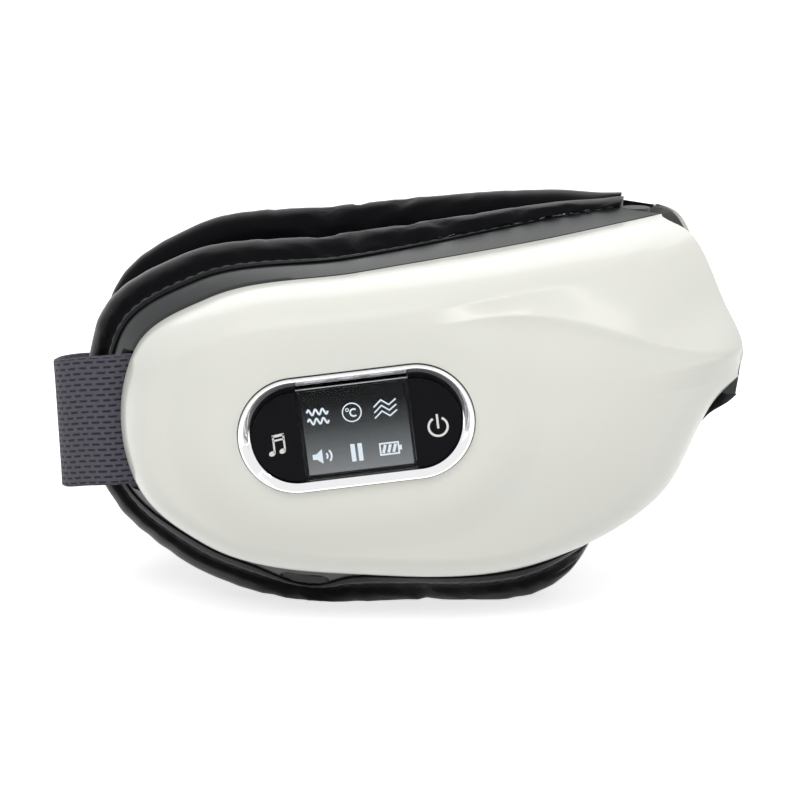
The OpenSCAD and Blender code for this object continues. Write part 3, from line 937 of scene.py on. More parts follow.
@dataclass(frozen=True)
class Webbing:
    """Elastic webbing: rows of yarn with short dark gaps, staggered row by row."""

    length: float
    lap: float
    yarn: Colour = (0.082, 0.078, 0.10)
    gap: Colour = (0.017, 0.016, 0.021)
    row: float = 0.98
    dash: float = 2.1
    gap_side: tuple[float, float] = (0.27, 0.08)
    gap_end: tuple[float, float] = (0.44, 0.26)
    worn: float = 1.45
    sheen: float = 0.12
    relief: float = 0.00025

    @staticmethod
    def fade(s: Shader, value: bpy.types.NodeSocket, limits: tuple) -> bpy.types.NodeSocket:
        """Rises from 0 to 1 between a value's limits."""
        inputs = {"From Min": limits[0], "From Max": limits[1], "Value": value}
        return s.add("ShaderNodeMapRange", inputs).outputs["Result"]

    def material(self) -> bpy.types.Material:
        """Builds the finish.

        Returns:
            The material.
        """
        s = Shader("elastic_webbing")
        split = s.add("ShaderNodeSeparateXYZ", {0: s.add("ShaderNodeTexCoord").outputs["UV"]})
        across = s.math("MULTIPLY", split.outputs[0], self.lap / self.row)
        along = s.math("MULTIPLY", split.outputs[1], self.length / self.dash)
        stagger = s.math("MULTIPLY", s.math("FLOOR", across), 0.5)
        ripple = s.math("MULTIPLY", s.noise(260, 2), 0.5)
        along = s.math("ADD", s.math("ADD", along, stagger), ripple)
        side = s.math("ABSOLUTE", s.math("SUBTRACT", s.math("FRACT", across), 0.5))
        run = s.math("ABSOLUTE", s.math("SUBTRACT", s.math("FRACT", along), 0.5))
        hole = s.math("MULTIPLY", self.fade(s, side, self.gap_side), self.fade(s, run, self.gap_end))
        fuzz = s.noise(3800, 3)
        worn = tuple(self.worn * c for c in self.yarn)
        s.set(Base_Color=s.blend(hole, s.blend(fuzz, self.yarn, worn), self.gap))
        s.set(Roughness=0.88, Specular_IOR_Level=0.2, Sheen_Weight=self.sheen, Sheen_Roughness=0.5)
        height = s.math("SUBTRACT", s.math("MULTIPLY", fuzz, 0.35), hole)
        s.bump(height, self.relief, 0.9)
        return s.material


@dataclass(frozen=True)
class Metal:
    """Bare or plated metal."""

    name: str
    colour: Colour
    roughness: float

    def material(self) -> bpy.types.Material:
        """Builds the finish.

        Returns:
            The material.
        """
        s = Shader(self.name)
        s.set(Base_Color=(*self.colour, 1.0), Metallic=1.0)
        s.set(Roughness=s.span(s.noise(1400, 3), 0.6 * self.roughness, 1.4 * self.roughness))
        return s.material


@dataclass(frozen=True)
class ClearWindow:
    """Clear moulded window."""

    tint: Colour = (0.93, 0.94, 0.95)

    def material(self) -> bpy.types.Material:
        """Builds the finish.

        Returns:
            The material.
        """
        s = Shader("clear_window")
        s.set(Base_Color=(*self.tint, 1.0), IOR=1.08, Transmission_Weight=1.0)
        s.set(Roughness=s.span(s.noise(500), 0.0, 0.03))
        return s.material


@dataclass(frozen=True)
class LitDisplay:
    """Display face that fades from black at its top to grey at its foot: a painted reflection of pale
    surroundings, given as glow.
    """

    up: tuple[float, float, float]
    low: float
    high: float

    # Painted reflection: the face glows from black at the top to grey at the foot.
    FADE = [
        (0.0, (0.24, 0.25, 0.255)), (0.3, (0.13, 0.138, 0.142)), (0.55, (0.045, 0.048, 0.05)),
        (0.78, (0.006, 0.0065, 0.007)), (1.0, (0.001, 0.001, 0.0012)),
    ]  # fmt: skip

    def material(self) -> bpy.types.Material:
        """Builds the finish.

        Returns:
            The material.
        """
        s = Shader("lit_display")
        spot = {0: s.object_space(), 1: self.up}
        rise = s.add("ShaderNodeVectorMath", spot, operation="DOT_PRODUCT").outputs["Value"]
        limits = {"Value": rise, "From Min": self.low, "From Max": self.high}
        share = s.add("ShaderNodeMapRange", limits).outputs["Result"]
        s.set(Base_Color=(0.004, 0.004, 0.004, 1.0), Roughness=0.5, Specular_IOR_Level=0.05)
        s.set(Emission_Color=s.ramp(share, self.FADE), Emission_Strength=1.0)
        return s.material


@dataclass(frozen=True)
class PaleInk:
    """Pale printed sign; where a glow is given, it glows with painted light."""

    name: str
    colour: Colour = (0.66, 0.68, 0.7)
    glow: float = 0.0

    def material(self) -> bpy.types.Material:
        """Builds the finish.

        Returns:
            The material.
        """
        s = Shader(self.name)
        dim = tuple(0.93 * c for c in self.colour)
        s.set(Base_Color=s.blend(s.noise(2500), self.colour, dim), Roughness=0.5)
        # A glow here is painted light: the sign is no lamp.
        s.set(Emission_Color=(*self.colour, 1.0), Emission_Strength=self.glow)
        return s.material


@dataclass
class Finishes:
    """The finishes that more than one piece wears."""

    def __post_init__(self) -> None:
        """Builds each material once."""
        self.shell = GlossShell().material()
        housing = SatinPlastic("charcoal_housing", (0.013, 0.015, 0.016), 0.34, specular=0.4)
        self.housing = housing.material()
        self.leather = Leather().material()
        self.pad = Knit("eye_pad_knit", (0.05, 0.05, 0.055)).material()
        self.loop = Knit("fastener_loops", (0.035, 0.035, 0.04), 0.0006).material()
        self.thread = SatinPlastic("seam_thread", (0.05, 0.05, 0.055), 0.7, 0.00005).material()
        self.chrome = Metal("bright_chrome", (0.86, 0.86, 0.87), 0.05).material()
        self.steel = Metal("steel", (0.55, 0.55, 0.57), 0.3).material()
        self.key = SatinPlastic("black_key", (0.005, 0.005, 0.0065), 0.42, specular=0.05).material()
        self.frame = SatinPlastic("black_frame", (0.02, 0.02, 0.022), 0.55).material()
        self.board = SatinPlastic("green_board", (0.02, 0.12, 0.06), 0.35).material()
        self.film = SatinPlastic("heating_film", (0.5, 0.24, 0.09), 0.35).material()
        self.bag = SatinPlastic("air_bag_rubber", (0.28, 0.31, 0.35), 0.6).material()
        self.cell = SatinPlastic("battery_wrap", (0.05, 0.12, 0.3), 0.4).material()
        self.valve = SatinPlastic("valve_plastic", (0.6, 0.6, 0.55), 0.45).material()
        self.window = ClearWindow().material()
        self.ink = PaleInk("key_sign", (0.84, 0.83, 0.81)).material()
        # The display signs glow with painted light so that they read pale under the window.
        self.lit = PaleInk("display_sign", (0.50, 0.55, 0.59), 0.5).material()


@dataclass
class FrontShell:
    """The glossy front shell of one half."""

    form: MaskForm
    half: Half
    rings: int = 110
    edge_round: float = 0.3
    edge_angle: float = 50.0

    def build(self, finishes: Finishes) -> Pieces:
        """Models and dresses the shell.

        Args:
            finishes: the mask's finishes.

        Returns:
            The shell's piece, by itself.
        """
        holed = self.half is Half.RIGHT
        outer = self.form.shell_rows(self.rings, holed)
        inner = self.form.shell_rows(self.rings // 2, holed, self.form.wall)[::-1]
        rows = self.form.place(np.concatenate([outer, inner]), self.half)
        piece = Bench.loft(f"{self.half.label}_shell_skin", rows, closed=holed)
        Bench.outward(piece)
        limit = math.radians(self.edge_angle)
        width = self.edge_round * MM
        Bench.modify(piece, "BEVEL", width=width, segments=2, limit_method="ANGLE", angle_limit=limit)
        Bench.smooth(piece, 40)
        Bench.dress(piece, finishes.shell)
        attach(piece, self.half.body)
        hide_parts(f"{self.half.label}_front_shell")
        return [piece]


@dataclass
class RearHousing:
    """The charcoal rear housing of one half, with the eye deck."""

    form: MaskForm
    half: Half
    groove: float = 0.45
    groove_share: float = 0.035
    wall_rings: int = 14
    deck_rings: int = 16
    deck_share: float = 0.94
    port_half: float = 2.85
    port_r: float = 1.95
    port_depth: float = 28.7
    port_corners: int = 48

    SLOT = [[-119.7, -26.85], [-91.7, -26.85], [-91.7, -33], [-119.7, -33]]
    SLOT_REACH = (23.9, 51.3)
    ARM = [[-3.3, -4], [3.6, -4], [3.6, -9], [1.9, -12.3], [-6, -27], [-10, -27], [-3.3, -12.2]]
    ARM_REACH = (47.75, 58.25)
    PORT_REACH = (2.0, 11.6)

    def rows(self) -> Points:
        """Lays the rings from the rim over the cushion's seat to the middle of the deck and back.

        Returns:
            Rings of points: along, minus depth, up.
        """
        form, wall = self.form, self.form.wall
        outer, inner = form.seat_outer * form.roll_w, form.seat_inner * form.roll_w
        shares = np.linspace(self.deck_share, 0, self.deck_rings)
        rings = [form.rim(self.groove)]
        rings += [form.wall_ring(share) for share in np.linspace(self.groove_share, 1, self.wall_rings)]
        rings.append(form.seat(inner))
        rings += [form.deck(share, 0.0) for share in shares]
        rings += [form.deck(share, wall) for share in shares[::-1]]
        rings += [form.seat(inner, wall), form.seat(outer + wall, wall), form.rim(wall)]
        return np.stack(rings)

    def port(self) -> Points:
        """Draws the outline of the charging port.

        Returns:
            The outline's points: along, minus depth.
        """
        turn = np.linspace(0, 2 * math.pi, self.port_corners, endpoint=False)
        along = np.sign(np.cos(turn)) * self.port_half + self.port_r * np.cos(turn) + self.form.port_x
        return np.stack([along, self.port_r * np.sin(turn) - self.port_depth], axis=1)

    def cut_ways(self, piece: Piece) -> None:
        """Cuts the strap's slot, the hinge arm's window and the charging port.

        Args:
            piece: the closed housing.
        """
        ways = [(self.SLOT, self.SLOT_REACH), (self.ARM, self.ARM_REACH)]
        if self.half is Half.RIGHT:
            ways.append((self.port(), self.PORT_REACH))
        for outline, (low, high) in ways:
            spots = np.column_stack([outline, np.zeros(len(outline))])
            spots = self.form.place(spots, self.half)[:, :2]
            Bench.cut(piece, Bench.prism("way", spots, low * MM, high * MM))

    def build(self, finishes: Finishes) -> Pieces:
        """Models and dresses the housing.

        Args:
            finishes: the mask's finishes.

        Returns:
            The housing's piece, by itself.
        """
        rows = self.form.place(self.rows(), self.half)
        piece = Bench.loft(f"{self.half.label}_housing_skin", rows, closed=True)
        Bench.outward(piece)
        self.cut_ways(piece)
        Bench.smooth(piece, 35)
        Bench.dress(piece, finishes.housing)
        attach(piece, self.half.body)
        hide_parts(f"{self.half.label}_rear_housing")
        return [piece]


@dataclass
class FaceCushion:
    """The padded leather roll of one half, with a stitched hem that laps over the housing."""

    form: MaskForm
    half: Half
    steps: int = 4
    hem: float = 0.45
    hem_foot: float = 0.35
    foot_high: float = 30.0
    foot_low: float = 10.0
    port_room: float = 0.52
    port_wide: float = 8.0
    pucker: float = 0.22
    stitch_pitch: float = 2.5
    stitch_len: float = 1.7
    stitch_r: float = 0.17
    sim_scale: float = 25.0
    sim_frames: int = 20
    pressure: float = 3.0
    slack: float = 0.04
    move_cap: float = 0.75
    calm_near: float = 3.0
    calm_far: float = 16.0

    HEM = [
        [1.0, 0.06, 0.0], [1.02, 0.3, 0.0], [0.92, 0.46, 0.0], [0.74, 0.48, 0.3], [0.62, 0.16, 0.6],
        [0.48, 0.66, 1.5], [0.2, 1.4, 1.6],
    ]  # fmt: skip
    SECTION = [
        [0.045, -0.8, 1.2], [-0.003, -0.3, 0.7], [0.0, 0.12, 0.6], [0.08, 0.56, 0.7], [0.26, 0.89, 0.4],
        [0.5, 1.0, 0.2], [0.74, 0.9, 0.1], [0.92, 0.56, 0.0], [1.0, 0.0, 0.0], [0.97, -0.6, 0.0],
        [0.88, -1.0, 0.0], [0.6, -1.0, 0.0], [0.3, -1.0, 0.0],
    ]  # fmt: skip
    SEAM = (0.62, 0.24)
    STITCH = (0.3, 0.5, 0.7)
    WAVES = (23, 37, 41, 59, 71)
    CLOTH = {
        "quality": 5, "mass": 0.3, "tension_stiffness": 25, "compression_stiffness": 25,
        "shear_stiffness": 8, "bending_stiffness": 1.0, "air_damping": 5, "use_pressure": True,
    }  # fmt: skip

    def hem_ring(self, share: float, lift: float) -> Points:
        """One line along the hem.

        Args:
            share: from 0 at the cushion's seat to 1 at the hem's edge.
            lift: how far the line stands off the housing's wall.

        Returns:
            The line's points: along, minus depth, up.
        """
        line = self.form.cushion_line
        # Low down the hem reaches further over the housing: leather there, and also a dark band that
        # stands in for the shade on the housing's underside.
        reach = self.hem + self.hem_foot * ease(self.foot_high, self.foot_low, line[:, 1])
        if self.half is Half.RIGHT:
            near = np.exp(-(((line[:, 0] - self.form.port_x) / self.port_wide) ** 2))
            reach = reach - self.port_room * near * (line[:, 1] < self.foot_high)
        reach = reach * (1 - self.form.centred)
        return self.form.wall_ring(1 - reach[:, None] * share, lift)

    def ring(self, across: float, back: float) -> Points:
        """One line along the roll.

        Args:
            across: share of the roll's width from its outer side.
            back: from -1 at the housing to 1 at the face.

        Returns:
            The line's points: along, minus depth, up.
        """
        form = self.form
        line = form.cushion_line
        spot = line + form.inward(line) * across * form.roll_w
        middle = form.roll_depth(spot[:, 0], spot[:, 1])
        reach = form.roll_front if back < 0 else np.minimum(form.roll_back, middle - form.part_gap)
        return np.stack([spot[:, 0], back * reach - middle, spot[:, 1]], axis=1)

    def wrinkles(self) -> Points:
        """Reads the unevenness along the roll, drawn in by the seam.

        Returns:
            The unevenness at each point of the cushion's line, from -1 to 1.
        """
        line = self.form.cushion_line
        run = np.cumsum(np.linalg.norm(np.diff(line, axis=0, prepend=line[-1:]), axis=1))
        waves = [(2 * math.pi * k / run[-1], 0.6 * k + 0.4) for k in self.WAVES]
        return sum(np.sin(pace * run + shift) for pace, shift in waves) / len(waves)

    def rows(self) -> Points:
        """Lays the rings of the padded roll, from the hem's edge over the roll to its seat.

        Returns:
            Rings of points: along, minus depth, up.
        """
        lines = [self.hem_ring(share, lift) for share, lift, _ in self.HEM]
        lines += [self.ring(across, back) for across, back, _ in self.SECTION]
        pulls = [[pull] for _, _, pull in self.HEM + self.SECTION]
        knots = np.concatenate([np.reshape(lines, (len(lines), -1)), pulls], axis=1)
        lap = loop_spline(knots, self.steps)
        rows = lap[:, :-1].reshape(len(lap), -1, 3)
        folds = self.pucker * self.wrinkles()[:, None] * self.form.outward()
        rows = rows + lap[:, -1, None, None] * folds
        rows[..., 2] = np.maximum(0, rows[..., 2])
        return rows

    def held(self, piece: Piece) -> list:
        """Finds the vertices that the cloth simulation holds, at the hem and at the seat.

        Args:
            piece: the roll, with the numbers of its rows.

        Returns:
            The vertices' numbers.
        """
        row = np.empty(len(piece.data.vertices), int)
        numbers = piece.data.attributes[ROW]
        numbers.data.foreach_get("value", row)
        piece.data.attributes.remove(numbers)
        seam = self.steps * (len(self.HEM) - 2)
        seat = self.steps * (len(self.HEM) + len(self.SECTION) - 4)
        return np.flatnonzero((row <= seam) | (row >= seat)).tolist()

    def simulate(self, piece: Piece) -> None:
        """Fills the roll with air as cloth, drawn larger, and keeps the last frame.

        Args:
            piece: the roll.
        """
        group = piece.vertex_groups.new(name="held")
        group.add(self.held(piece), 1.0, "REPLACE")
        Bench.put(piece, Bench.spots(piece) * self.sim_scale)
        Bench.pick(piece)
        bpy.ops.object.modifier_add(type="CLOTH")
        cloth = piece.modifiers[-1]
        for key, value in self.CLOTH.items():
            setattr(cloth.settings, key, value)
        cloth.settings.uniform_pressure_force = self.pressure
        cloth.settings.shrink_min = -self.slack
        cloth.settings.vertex_group_mass = group.name
        cloth.settings.effector_weights.gravity = 0
        cloth.collision_settings.use_collision = False
        cloth.point_cache.frame_end = self.sim_frames
        for frame in range(1, self.sim_frames + 1):
            bpy.context.scene.frame_set(frame)
        bpy.ops.object.modifier_apply(modifier=cloth.name)
        bpy.context.scene.frame_set(1)
        piece.vertex_groups.clear()

    def inflate(self, piece: Piece) -> None:
        """Fills the roll by a cloth simulation and caps how far each vertex moves.

        Args:
            piece: the roll.
        """
        rest = Bench.spots(piece)
        self.simulate(piece)
        moved = Bench.spots(piece) / self.sim_scale - rest
        far = np.linalg.norm(moved, axis=1, keepdims=True)
        log.info("cloth moved by %.2f mm at most, %.2f in the mean", far.max() / MM, far.mean() / MM)
        from_hinge = self.form.hinge_x - rest[:, :1] / MM
        cap = self.move_cap * ease(self.calm_near, self.calm_far, from_hinge) * MM
        spots = rest + moved * np.minimum(1, cap / np.maximum(far, 1e-9))
        depth = np.maximum(spots[:, 1] * self.half.value, self.form.part_gap * MM)
        spots[:, 1] = depth * self.half.value
        spots[:, 2] = np.maximum(0, spots[:, 2])
        Bench.put(piece, spots)

    def stitches(self, finishes: Finishes) -> Piece:
        """Thread along the seam.

        Args:
            finishes: the mask's finishes.

        Returns:
            The piece of all stitches.
        """
        seam = self.form.place(self.hem_ring(*self.SEAM), self.half)
        seam = np.concatenate([seam, seam[:1]])
        run = np.concatenate([[0], np.cumsum(np.linalg.norm(np.diff(seam, axis=0), axis=1))])
        count = int(run[-1] / (self.stitch_pitch * MM))
        Bench.clear()
        bpy.ops.mesh.primitive_uv_sphere_add(segments=8, ring_count=6, radius=self.stitch_r * MM)
        pattern = bpy.context.object
        Bench.edit(pattern)
        bpy.ops.transform.resize(value=(1, 1, self.stitch_len / (2 * self.stitch_r)))
        Bench.done()
        copies = []
        for step in range(count):
            spots = (step + np.array(self.STITCH)) * run[-1] / count
            start, middle, stop = (
                Vector([np.interp(spot, run, seam[:, axis]) for axis in range(3)]) for spot in spots
            )
            copy = pattern.copy()
            copy.data = pattern.data.copy()
            bpy.context.scene.collection.objects.link(copy)
            copy.rotation_mode = "QUATERNION"
            copy.rotation_quaternion = (stop - start).to_track_quat("Z", "Y")
            copy.location = middle
            copies.append(copy)
        bpy.data.objects.remove(pattern)
        piece = Bench.join(copies, f"{self.half.label}_cushion_stitches")
        bpy.ops.object.transform_apply(location=True, rotation=True, scale=True)
        Bench.smooth(piece, 60)
        Bench.dress(piece, finishes.thread)
        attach(piece, self.half.body)
        return piece

    def build(self, finishes: Finishes) -> Pieces:
        """Models and dresses the roll and its stitches.

        Args:
            finishes: the mask's finishes.

        Returns:
            The roll and the stitches.
        """
        rows = self.form.place(self.rows(), self.half)
        piece = Bench.loft(f"{self.half.label}_cushion_roll", rows, closed=True, numbered=True)
        Bench.outward(piece)
        self.inflate(piece)
        Bench.smooth(piece, 60)
        Bench.dress(piece, finishes.leather)
        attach(piece, self.half.body)
        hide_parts(f"{self.half.label}_face_cushion")
        return [piece, self.stitches(finishes)]


@dataclass
class EyePad:
    """The knit pad over the eye deck of one half."""

    form: MaskForm
    half: Half
    front: float = 3.56
    thick: float = 3.4
    rim_share: float = 0.86
    face_share: float = 0.94
    face_rings: int = 16
    base_share: float = 0.9
    base_rings: int = 8

    EDGE = [(0.975, 0.9), (1.0, 0.6), (1.0, 0.3), (0.985, 0.0)]

    def build(self, finishes: Finishes) -> Pieces:
        """Models and dresses the pad.

        Args:
            finishes: the mask's finishes.

        Returns:
            The pad's piece, by itself.
        """
        face = [(share, 1.0) for share in np.linspace(0, self.face_share, self.face_rings)]
        base = [(share, 0.0) for share in np.linspace(self.base_share, 0, self.base_rings)]
        rows = [
            self.form.deck(share * self.rim_share, -self.front - self.thick * rise)
            for share, rise in face + self.EDGE + base
        ]
        piece = Bench.loft(f"{self.half.label}_pad_cover", self.form.place(np.stack(rows), self.half))
        Bench.outward(piece)
        Bench.smooth(piece, 50)
        Bench.dress(piece, finishes.pad)
        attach(piece, self.half.body)
        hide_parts(f"{self.half.label}_eye_pad")
        return [piece]


@dataclass
class ElasticStrap:
    """The elastic strap of one half, wrapped round its bar and folded in between the halves."""

    form: MaskForm
    half: Half
    width: float = 25.4
    thick: float = 1.5
    bar_r: float = 1.2
    bar_gap: float = 0.12
    bar_x: float = -89.7
    bar_w: float = 30.6
    shell_len: float = 99.3
    shell_gap: float = 2.7
    rise: float = 28.8
    lean: float = 1.4
    lean_run: float = 6.0
    lean_foot: float = 0.6
    steps: int = 7
    columns: int = 26
    flat_share: float = 0.95
    bead: float = 0.06
    bead_end: float = 0.96

    REACH = {Half.RIGHT: 13.3, Half.LEFT: 8.3}
    WRAP = np.radians(np.arange(150, -91, -40))
    LEAVE = [(4.5, 0.1), (0.0, 0.6)]
    TURN = [(0.45, 24.4, 1.6), (0.85, 20.4, 2.8), (1, 15, 3.8), (0.9, 9.2, 4.3), (0.55, 5.2, 4.6)]
    TAIL = [(0, 3.4, 4.9), (8, 2.9, 5), (18, 2.7, 5), (26, 2.7, 5)]
    SIDE = np.radians([-60, -20, 20, 60])

    @property
    def mouth(self) -> float:
        """Place along the mask where the strap comes out."""
        return -self.shell_gap - self.shell_len

    def line(self) -> Points:
        """Draws the centre line, from the bar through the slot to the tail between the halves.

        Returns:
            The line's points: along, depth, minus drop.
        """
        r = self.bar_r + self.bar_gap + self.thick / 2
        bend = self.REACH[self.half] - self.shell_gap - self.thick / 2
        wrap = [[self.bar_x + r * math.cos(a), self.bar_w + r * math.sin(a), 0] for a in self.WRAP]
        leave = [[self.mouth + back, self.bar_w - r - drop, -drop] for back, drop in self.LEAVE]
        turn = [[self.mouth - bend * share, depth, -drop] for share, depth, drop in self.TURN]
        tail = [[self.mouth + back, depth, -drop] for back, depth, drop in self.TAIL]
        return np.concatenate([spline(wrap + leave + turn + tail, self.steps), [tail[-1]]])

    def lap(self) -> Points:
        """Draws the webbing's section, once round, a little thicker at its two edges.

        Returns:
            The section's points: share of the thickness, share of half the width.
        """
        flat = np.linspace(-self.flat_share, self.flat_share, self.columns)
        front = np.stack([0.5 + self.bead * flat**8, flat], axis=1)
        across = -(0.5 + self.bead) * np.sin(self.SIDE)
        up = self.bead_end + (1 - self.bead_end) * np.cos(self.SIDE)
        top = np.stack([across, up], axis=1)
        return np.concatenate([front, top, -front, -top])

    def build(self, finishes: Finishes) -> Pieces:
        """Models and dresses the strap.

        Args:
            finishes: the mask's finishes.

        Returns:
            The strap's piece, by itself.
        """
        line, lap = self.line(), self.lap()
        ahead = np.gradient(line[:, :2], axis=0)
        ahead /= np.linalg.norm(ahead, axis=1, keepdims=True)
        side = np.stack([-ahead[:, 1], ahead[:, 0]], axis=1) * self.thick
        height = self.form.shell_lift + self.rise + line[:, 2]
        spots = line[:, None, :2] + side[:, None] * lap[None, :, :1]
        up = height[:, None] + lap[None, :, 1] * self.width / 2
        bend = self.lean * ease(self.mouth, self.mouth - self.lean_run, line[:, 0])
        out = bend[:, None] * (self.lean_foot + (1 - self.lean_foot) * lap[None, :, 1])
        rows = np.stack([spots[..., 0] - out, -spots[..., 1], up], axis=-1)
        piece = Bench.loft(f"{self.half.label}_strap_webbing", self.form.place(rows, self.half))
        Bench.cap(piece)
        Bench.outward(piece)
        Bench.smooth(piece, 60)
        section = lap * [self.thick, self.width / 2]
        round_len = np.linalg.norm(np.diff(section, axis=0, append=section[:1]), axis=1).sum()
        length = np.linalg.norm(np.diff(line, axis=0), axis=1).sum()
        Bench.dress(piece, Webbing(length, round_len).material())
        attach(piece, self.half.body)
        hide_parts(f"{self.half.label}_strap")
        return [piece]


@dataclass
class ControlPanel:
    """Chrome bezel, display and the two buttons with their signs."""

    form: MaskForm
    rim_w: float = 2.2
    rim_drop: float = 0.75
    rim_slope: float = 1.07
    slope_rings: int = 5
    land: float = 0.6
    land_h: float = 0.8
    foot: float = 0.1
    inner_drop: float = 0.6
    lcd_w: float = 20.6
    lcd_drop: float = 1.6
    pane_gap: float = 0.1
    pane_round: float = 0.14
    key_gap: float = 0.15
    key_depth: float = 2.6
    key_round: float = 0.35
    key_dish: float = 0.02
    key_arc: int = 40
    key_lip: float = 0.55
    lip_drop: float = 0.85
    sign_t: float = 0.06
    sign_sink: float = 0.03
    lit_sink: float = 0.01

    LAND = [[0.12, 0.08], [0.0, 0.16], [0.0, 0.6], [0.07, 0.78], [0.2, 0.88], [0.36, 0.9], [0.5, 0.88]]
    FOOT = [[2.16, -0.03], [2.2, -0.07], [2.2, -0.12]]
    SKIRT = [[1.5, -1.6], [1.5, -4.0], [1.15, -4.0], [1.15, 0.08]]
    # Section of the dark ring of painted shade round the rim's foot: inset and rise.
    SEAL = [[-0.2, -0.2], [-0.2, 0.05], [0.3, 0.06], [0.3, -0.2]]
    CROWN = [(0.5, 0.0), (0.28, -0.01)]
    EDGE = np.radians([70, 45, 20, 0])
    NOTE = (-14.95, -1.45)
    SWITCH = (14.95, -1.6)

    @property
    def half_len(self) -> float:
        """Half the straight length of the stadium."""
        return (self.form.bezel_len - self.form.bezel_h) / 2

    @property
    def top(self) -> float:
        """Height of the buttons' and the window's faces above the shell."""
        return -self.rim_drop + self.key_gap

    def spot(self, flat: Points, rise: Points | float) -> Points:
        """Points of the panel's plane in the object's frame.

        Args:
            flat: along and up the panel, from its middle.
            rise: how far in front of the shell.

        Returns:
            The points in metres.
        """
        tilt = math.radians(self.form.panel_tilt)
        u, v = flat[..., 0], flat[..., 1]
        along = self.form.panel_x + u * math.cos(tilt) - v * math.sin(tilt)
        up = self.form.panel_z + u * math.sin(tilt) + v * math.cos(tilt)
        depth = -(self.form.shell_depth + rise + 0 * u)
        return self.form.place(np.stack([along, depth, up], axis=-1), Half.RIGHT)

    def lap(self, inset: float, arc: int = 48) -> Points:
        """Draws a stadium outline.

        Args:
            inset: how far it is set in from the bezel's outer edge.
            arc: points along each round end.

        Returns:
            The outline's points: along and up the panel.
        """
        turn = np.linspace(-math.pi / 2, math.pi / 2, arc)
        round_end = np.stack([np.cos(turn), np.sin(turn)], axis=1) * (self.form.bezel_h / 2 - inset)
        right = round_end + [self.half_len, 0]
        return np.concatenate([right, -right])

    def bezel(self, finishes: Finishes) -> Piece:
        """Models the chrome rim, which slopes down evenly to the shifted buttons.

        Args:
            finishes: the mask's finishes.

        Returns:
            The rim's piece.
        """
        turn = np.linspace(-math.pi / 2, math.pi / 2, len(self.lap(0)) // 2)
        facing = np.concatenate([np.sin(turn), -np.sin(turn)])
        reach = self.rim_w - self.foot - self.land
        fall = self.rim_slope * (reach + self.inner_drop * facing)
        rows = [self.spot(self.lap(inset), rise) for inset, rise in self.LAND]
        for share in np.linspace(0, 1, self.slope_rings):
            shifted = self.lap(self.land + share * reach) - [0, self.inner_drop * share]
            rows.append(self.spot(shifted, self.land_h - share * fall))
        for inset, rise in self.FOOT:
            shifted = self.lap(inset) - [0, self.inner_drop]
            rows.append(self.spot(shifted, self.land_h - fall + rise))
        rows += [self.spot(self.lap(inset), rise) for inset, rise in self.SKIRT]
        piece = Bench.loft("bezel_rim", np.stack(rows), closed=True)
        Bench.outward(piece)
        Bench.smooth(piece, 35)
        Bench.dress(piece, finishes.chrome)
        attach(piece, Half.RIGHT.body)
        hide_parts("panel_bezel")
        return piece

    def seal(self, finishes: Finishes) -> Piece:
        """Models a thin dark ring between the rim and the shell: painted shade, a dark part laid where the
        shadow gap round the rim falls.

        Args:
            finishes: the mask's finishes.

        Returns:
            The seal's piece.
        """
        rows = np.stack([self.spot(self.lap(inset), rise) for inset, rise in self.SEAL])
        piece = Bench.loft("bezel_seal", rows, closed=True)
        Bench.outward(piece)
        Bench.dress(piece, finishes.frame)
        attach(piece, Half.RIGHT.body)
        return piece

    def key_outline(self, side: float, inset: float) -> Points:
        """Draws the D-shaped outline of a button.

        Args:
            side: -1 for the left button, 1 for the right one.
            inset: how far it is set in from the rim; only outlines inside the rim are shifted.

        Returns:
            The outline's points: along and up the panel.
        """
        r = self.form.bezel_h / 2 - self.rim_w - inset
        flat = self.lcd_w / 2 + self.key_gap
        turn = np.linspace(-math.pi / 2, math.pi / 2, self.key_arc)
        round_end = np.stack([self.half_len + r * np.cos(turn), r * np.sin(turn)], axis=1)
        outline = np.concatenate([[[flat, -r]], round_end, [[flat, r]]])
        return outline * [side, 1] - [0, self.inner_drop if inset > 0 else 0]

    def key(self, name: str, side: float, finishes: Finishes) -> Piece:
        """Models one button cap with a rounded edge and a lip under the rim.

        Args:
            name: the button's node and body.
            side: -1 for the left button, 1 for the right one.
            finishes: the mask's finishes.

        Returns:
            The cap's piece.
        """
        face = self.top - self.key_dish
        rings = [(self.key_gap + inset, face + rise) for inset, rise in self.CROWN]
        for turn in self.EDGE:
            inset = self.key_gap + self.key_round * (1 - math.cos(turn))
            rings.append((inset, face - self.key_round * (1 - math.sin(turn))))
        lip = -self.rim_drop - self.lip_drop - self.key_gap
        rings += [(self.key_gap, lip), (-self.key_lip, lip), (-self.key_lip, -self.key_depth)]
        rows = np.stack([self.spot(self.key_outline(side, inset), rise) for inset, rise in rings])
        piece = Bench.loft(f"{name}_cap", rows)
        Bench.cap(piece)
        Bench.outward(piece)
        Bench.smooth(piece, 30)
        Bench.dress(piece, finishes.key)
        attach(piece, name)
        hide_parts(name)
        return piece

